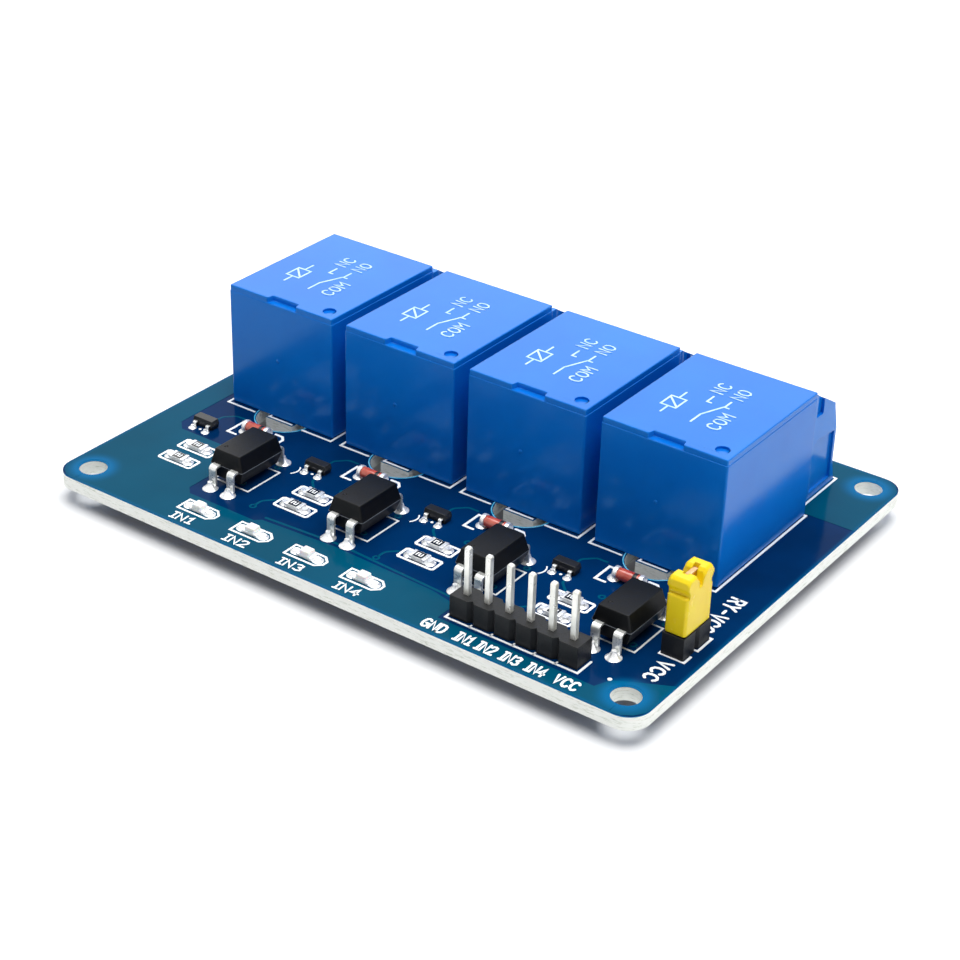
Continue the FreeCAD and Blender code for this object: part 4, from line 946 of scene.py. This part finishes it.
# A slab stands on its pads' solder. Its glaze, and the bars on the glaze, lie on its top.
base = top + 0.05
CERAMIC = (1.98, 1.25)
GLAZE_TOP = base + 0.53
BAR, BRIDGE = (0.14, 0.6), (0.16, 0.12)
slabs, ends, windows, marks = [], [], [], []
for x in resistors:
    for y in RESISTOR_ROWS:
        slabs.append(slab(x, y, CERAMIC, base, base + 0.5, 0.03))
        windows.append(slab(x, y, (1.2, 1.1), base + 0.49, base + 0.535, 0.015))
        for i, dx in enumerate((-0.32, 0.0, 0.32)):
            marks.append(slab(x + dx, y, BAR, GLAZE_TOP, base + 0.548, 0.005, 0.03))
            # a short bar joins each bar to the next, near one end and then near the other
            if i < 2:
                marks.append(slab(
                    x + dx + 0.16, y + 0.23 * (1 - 2 * i), BRIDGE, GLAZE_TOP, base + 0.547, 0.005, 0.03,
                ))
        for out in (-1, 1):
            ends.append(slab(x + out * 0.85, y, (0.4, 1.35), top + 0.02, base + 0.54, 0.08, 0.08))
            chip_solder.append(fillet(x + out * 1.38, y, length=1.3, width=1.2, high=0.42, flat=0.5))
# Fired alumina: a dull, chalky white.
ceramic_finish = surface(
    "fired_alumina", ("#d9dcdc", "#eceeee"), 1.0, (0.4, 0.55), 0.2, 0.004
)[0]
# Glass glaze over the resistive film: black, and shinier than the moulded parts.
glaze_finish = surface(
    "black_resistor_glaze", ("#101214", "#1a1d20"), 0.9, (0.16, 0.28), 0.3, 0.003
)[0]
make_piece("resistor_slabs", slabs, ceramic_finish, "board", ("resistor_bodies",))
make_piece("resistor_windows", windows, glaze_finish, "board")
make_piece("resistor_marks", marks, ink_finish, "board")
make_piece("resistor_caps", ends, solder_finish, "board", ("resistor_ends",))

# The indicator lights: a pale base with plated ends, and a lens of milky epoxy that is cast
# on it. They are soldered in a row along the front edge.

LENS = np.array([0.66, 0.6])
LENS_CORNER = 0.16
LAMP_ROW = -24.4
lenses, stands, ends = [], [], []
for x in lamps:
    y = LAMP_ROW
    stands.append(slab(x, y, CERAMIC, base, base + 0.3, 0.03))
    rings = []
    for inset, z in [(0.0, base + 0.29)] + round_edge(0.04, base + 0.85, LENS_CORNER, 5):
        half = LENS - inset
        rings.append(level(rounded(-half, half, max(LENS_CORNER - inset, 0.05)) + (x, y), z))
    lenses.append(loft(rings))
    for out in (-1, 1):
        ends.append(slab(x + out * 0.87, y, (0.36, 1.35), top + 0.02, base + 0.35, 0.06, 0.08))
        chip_solder.append(fillet(x + out * 1.42, y, length=1.3, width=1.4, high=0.3, flat=0.6))
# Milky cast epoxy: near white and glossy, and light spreads a little way under its skin.
lens_finish = surface(
    "milky_lamp_epoxy", ("#fafbf6", "#ffffff"), 1.0, (0.12, 0.2), 0.5, 0.003,
    sockets={"Subsurface Weight": 0.3, "Subsurface Scale": 0.0006},
)[0]
make_piece("lamp_bases", stands, ceramic_finish, "board", ("indicator_lamps",))
make_piece("lamp_lenses", lenses, lens_finish, "board")
make_piece("lamp_caps", ends, solder_finish, "board", ("indicator_ends",))
make_piece("surface_solder", chip_solder, solder_finish, "board")

# The two headers: strips of black moulded plastic that can be snapped between cells, and
# square posts of tinned brass, rounded off at their ends, that are pressed through them.

# Moulded header plastic: black, with soft edges and a fine matt skin.
header_finish = surface(
    "black_moulded_header_plastic", ("#0b0c0d", "#111315"), 2.5, (0.38, 0.52), 0.2, 0.006,
    edge=0.1, sockets={"IOR": 1.4},
)[0]
coat(header_finish, "header_strip", "jumper_strip")


def post(x, y, low, high, size=0.64, corner=0.1, dome=0.3):
    """A square post: near each end its half width shrinks by three quarters of what the
    quarter circle of a dome does."""
    turn = np.radians((0, 20, 40, 60, 78))
    stops = [(dome * (1 - math.cos(t)) * 0.75, high - dome + dome * math.sin(t)) for t in turn]
    lower = [(inset, low + high - z) for inset, z in reversed(stops)]
    rings = []
    for inset, z in lower + stops:
        half = np.full(2, size / 2 - inset)
        rings.append(level(rounded(-half, half, min(corner, half[0] * 0.9), 4) + (x, y), z))
    return loft(rings)


POST_TOP = top + 8.0
# Bright tin over brass: nearly white, with a soft and slightly uneven sheen.
post_finish = surface(
    "bright_tinned_posts", ("#e6e7e0", "#fafaf4"), 2.0, (0.26, 0.36), 0.6, 0.002,
    sockets={"Metallic": 0.55},
)[0]
posts = [post(x, y, 0.0, POST_TOP) for x, y in control_pins]
make_piece("control_posts", posts, post_finish, "board", ("header_posts",))
posts = [post(x, y, 0.0, POST_TOP) for x, y in jumper_pins]
make_piece("cap_posts", posts, post_finish, "board", ("jumper_posts",))

# The jumper cap: yellow moulded plastic with a grip of two flared heads, and a phosphor
# bronze clip that shows as a bridge in the gap between them.

# Moulded plastic: a warm, slightly translucent yellow with a soft gloss and rounded edges.
cap_finish = surface(
    "yellow_moulded_plastic", ("#f0d012", "#f3d818"), 3.5, (0.22, 0.28), 1.6, 0.001,
    edge=0.25, sockets={"IOR": 1.36, "Subsurface Weight": 0.08, "Subsurface Scale": 0.0008},
)[0]
coat(cap_finish, "jumper_cap")
# Rolled phosphor bronze: a pale copper brown metal.
clip_finish = surface(
    "phosphor_bronze_strip", ("#c99c66", "#e2c29a"), 0.8, (0.2, 0.34), 0.3, 0.003,
    edge=0.05, sockets={"Metallic": 1.0},
)[0]
coat(clip_finish, "jumper_clip")

# The studio: a floor of pale paper that keeps the shadow, a large overhead softbox, weaker
# ones behind and to the right, and white surroundings that the glossy parts mirror.

SURROUNDINGS = 0.17
FLOOR_LIFT = 0.04
FLOOR_REACH = 1.5


def white_seen(tree):
    """A socket that is 1 for what looks straight at the background, or mirrors or bends light
    towards it, and 0 for the light that it gives the object."""
    light = node(tree, "ShaderNodeLightPath")
    seen = node(
        tree, "ShaderNodeMath", {"operation": "MAXIMUM"},
        {0: light.outputs["Is Camera Ray"], 1: light.outputs["Is Glossy Ray"]},
    )
    return node(
        tree, "ShaderNodeMath", {"operation": "MAXIMUM"},
        {0: seen.outputs[0], 1: light.outputs["Is Transmission Ray"]},
    ).outputs[0]


floor_mesh = bpy.data.meshes.new("floor")
signs = ((-1, -1), (1, -1), (1, 1), (-1, 1))
floor_mesh.from_pydata([(FLOOR_REACH * a, FLOOR_REACH * b, 0) for a, b in signs], [], [(0, 1, 2, 3)])
floor = bpy.data.objects.new("floor", floor_mesh)
bpy.context.collection.objects.link(floor)
# Matt paper: almost no gloss, and lifted a little where it is seen, so that it ends in white.
floor_finish = bpy.data.materials.new("pale_studio_paper")
floor_finish.use_nodes = True
tree = floor_finish.node_tree
shader = tree.nodes["Principled BSDF"]
shader.inputs["Base Color"].default_value = linear("#f4f5f6")
shader.inputs["Roughness"].default_value = 0.9
shader.inputs["Specular IOR Level"].default_value = 0.1
shader.inputs["Emission Color"].default_value = (1.0, 1.0, 1.0, 1.0)
lift = node(tree, "ShaderNodeMath", {"operation": "MULTIPLY", 1: FLOOR_LIFT}, {0: white_seen(tree)})
tree.links.new(lift.outputs[0], shader.inputs["Emission Strength"])
floor_mesh.materials.append(floor_finish)

world = bpy.data.worlds.new("studio")
bpy.context.scene.world = world
world.use_nodes = True
tree = world.node_tree
sky = tree.nodes["Background"]
sky.inputs["Color"].default_value = (1.0, 1.0, 1.0, 1.0)
# The world is at full white where it is seen or mirrored, and weaker as light.
strength = node(
    tree, "ShaderNodeMapRange", {"To Min": SURROUNDINGS, "To Max": 1.0}, {"Value": white_seen(tree)}
)
tree.links.new(strength.outputs[0], sky.inputs["Strength"])


def softbox(name, spot, aim, size, power):
    """A square area lamp at a spot, turned towards what it lights."""
    lamp = bpy.data.lights.new(name, "AREA")
    lamp.size = size
    lamp.energy = power
    made = bpy.data.objects.new(name, lamp)
    made.location = spot
    made.rotation_euler = (Vector(aim) - Vector(spot)).to_track_quat("-Z", "Y").to_euler()
    bpy.context.collection.objects.link(made)
    made.visible_camera = False


softbox("overhead", (0.03, 0.03, 0.6), (0, 0, 0), 0.68, 6.2)
softbox("behind", (-0.5, 0.75, 0.5), (0, 0, 0), 0.7, 1.6)
softbox("right_side", (0.62, 0.1, 0.3), (0, 0, 0.01), 0.4, 0.55)

# The camera: its lens, angles and place were fitted together to the board's edges and holes.

CAMERA_PLACE = (0.118980, -0.169499, 0.122722)
camera = bpy.data.cameras.new("photo_view")
camera.lens = 81.06
camera.sensor_width = 36.0
camera.clip_start = 0.01
azimuth, elevation, roll = (math.radians(angle) for angle in (35.107, 29.961, 1.720))
back = Vector((
    math.sin(azimuth) * math.cos(elevation), -math.cos(azimuth) * math.cos(elevation),
    math.sin(elevation),
))
right = Vector((math.cos(azimuth), math.sin(azimuth), 0))
up = back.cross(right)
turned_right = math.cos(roll) * right + math.sin(roll) * up
turned_up = math.cos(roll) * up - math.sin(roll) * right
viewer = bpy.data.objects.new("photo_view", camera)
pose = Matrix((turned_right, turned_up, back)).transposed().to_4x4()
pose.translation = CAMERA_PLACE
viewer.matrix_world = pose
bpy.context.collection.objects.link(viewer)
bpy.context.scene.camera = viewer
bpy.context.scene.view_settings.view_transform = "Standard"
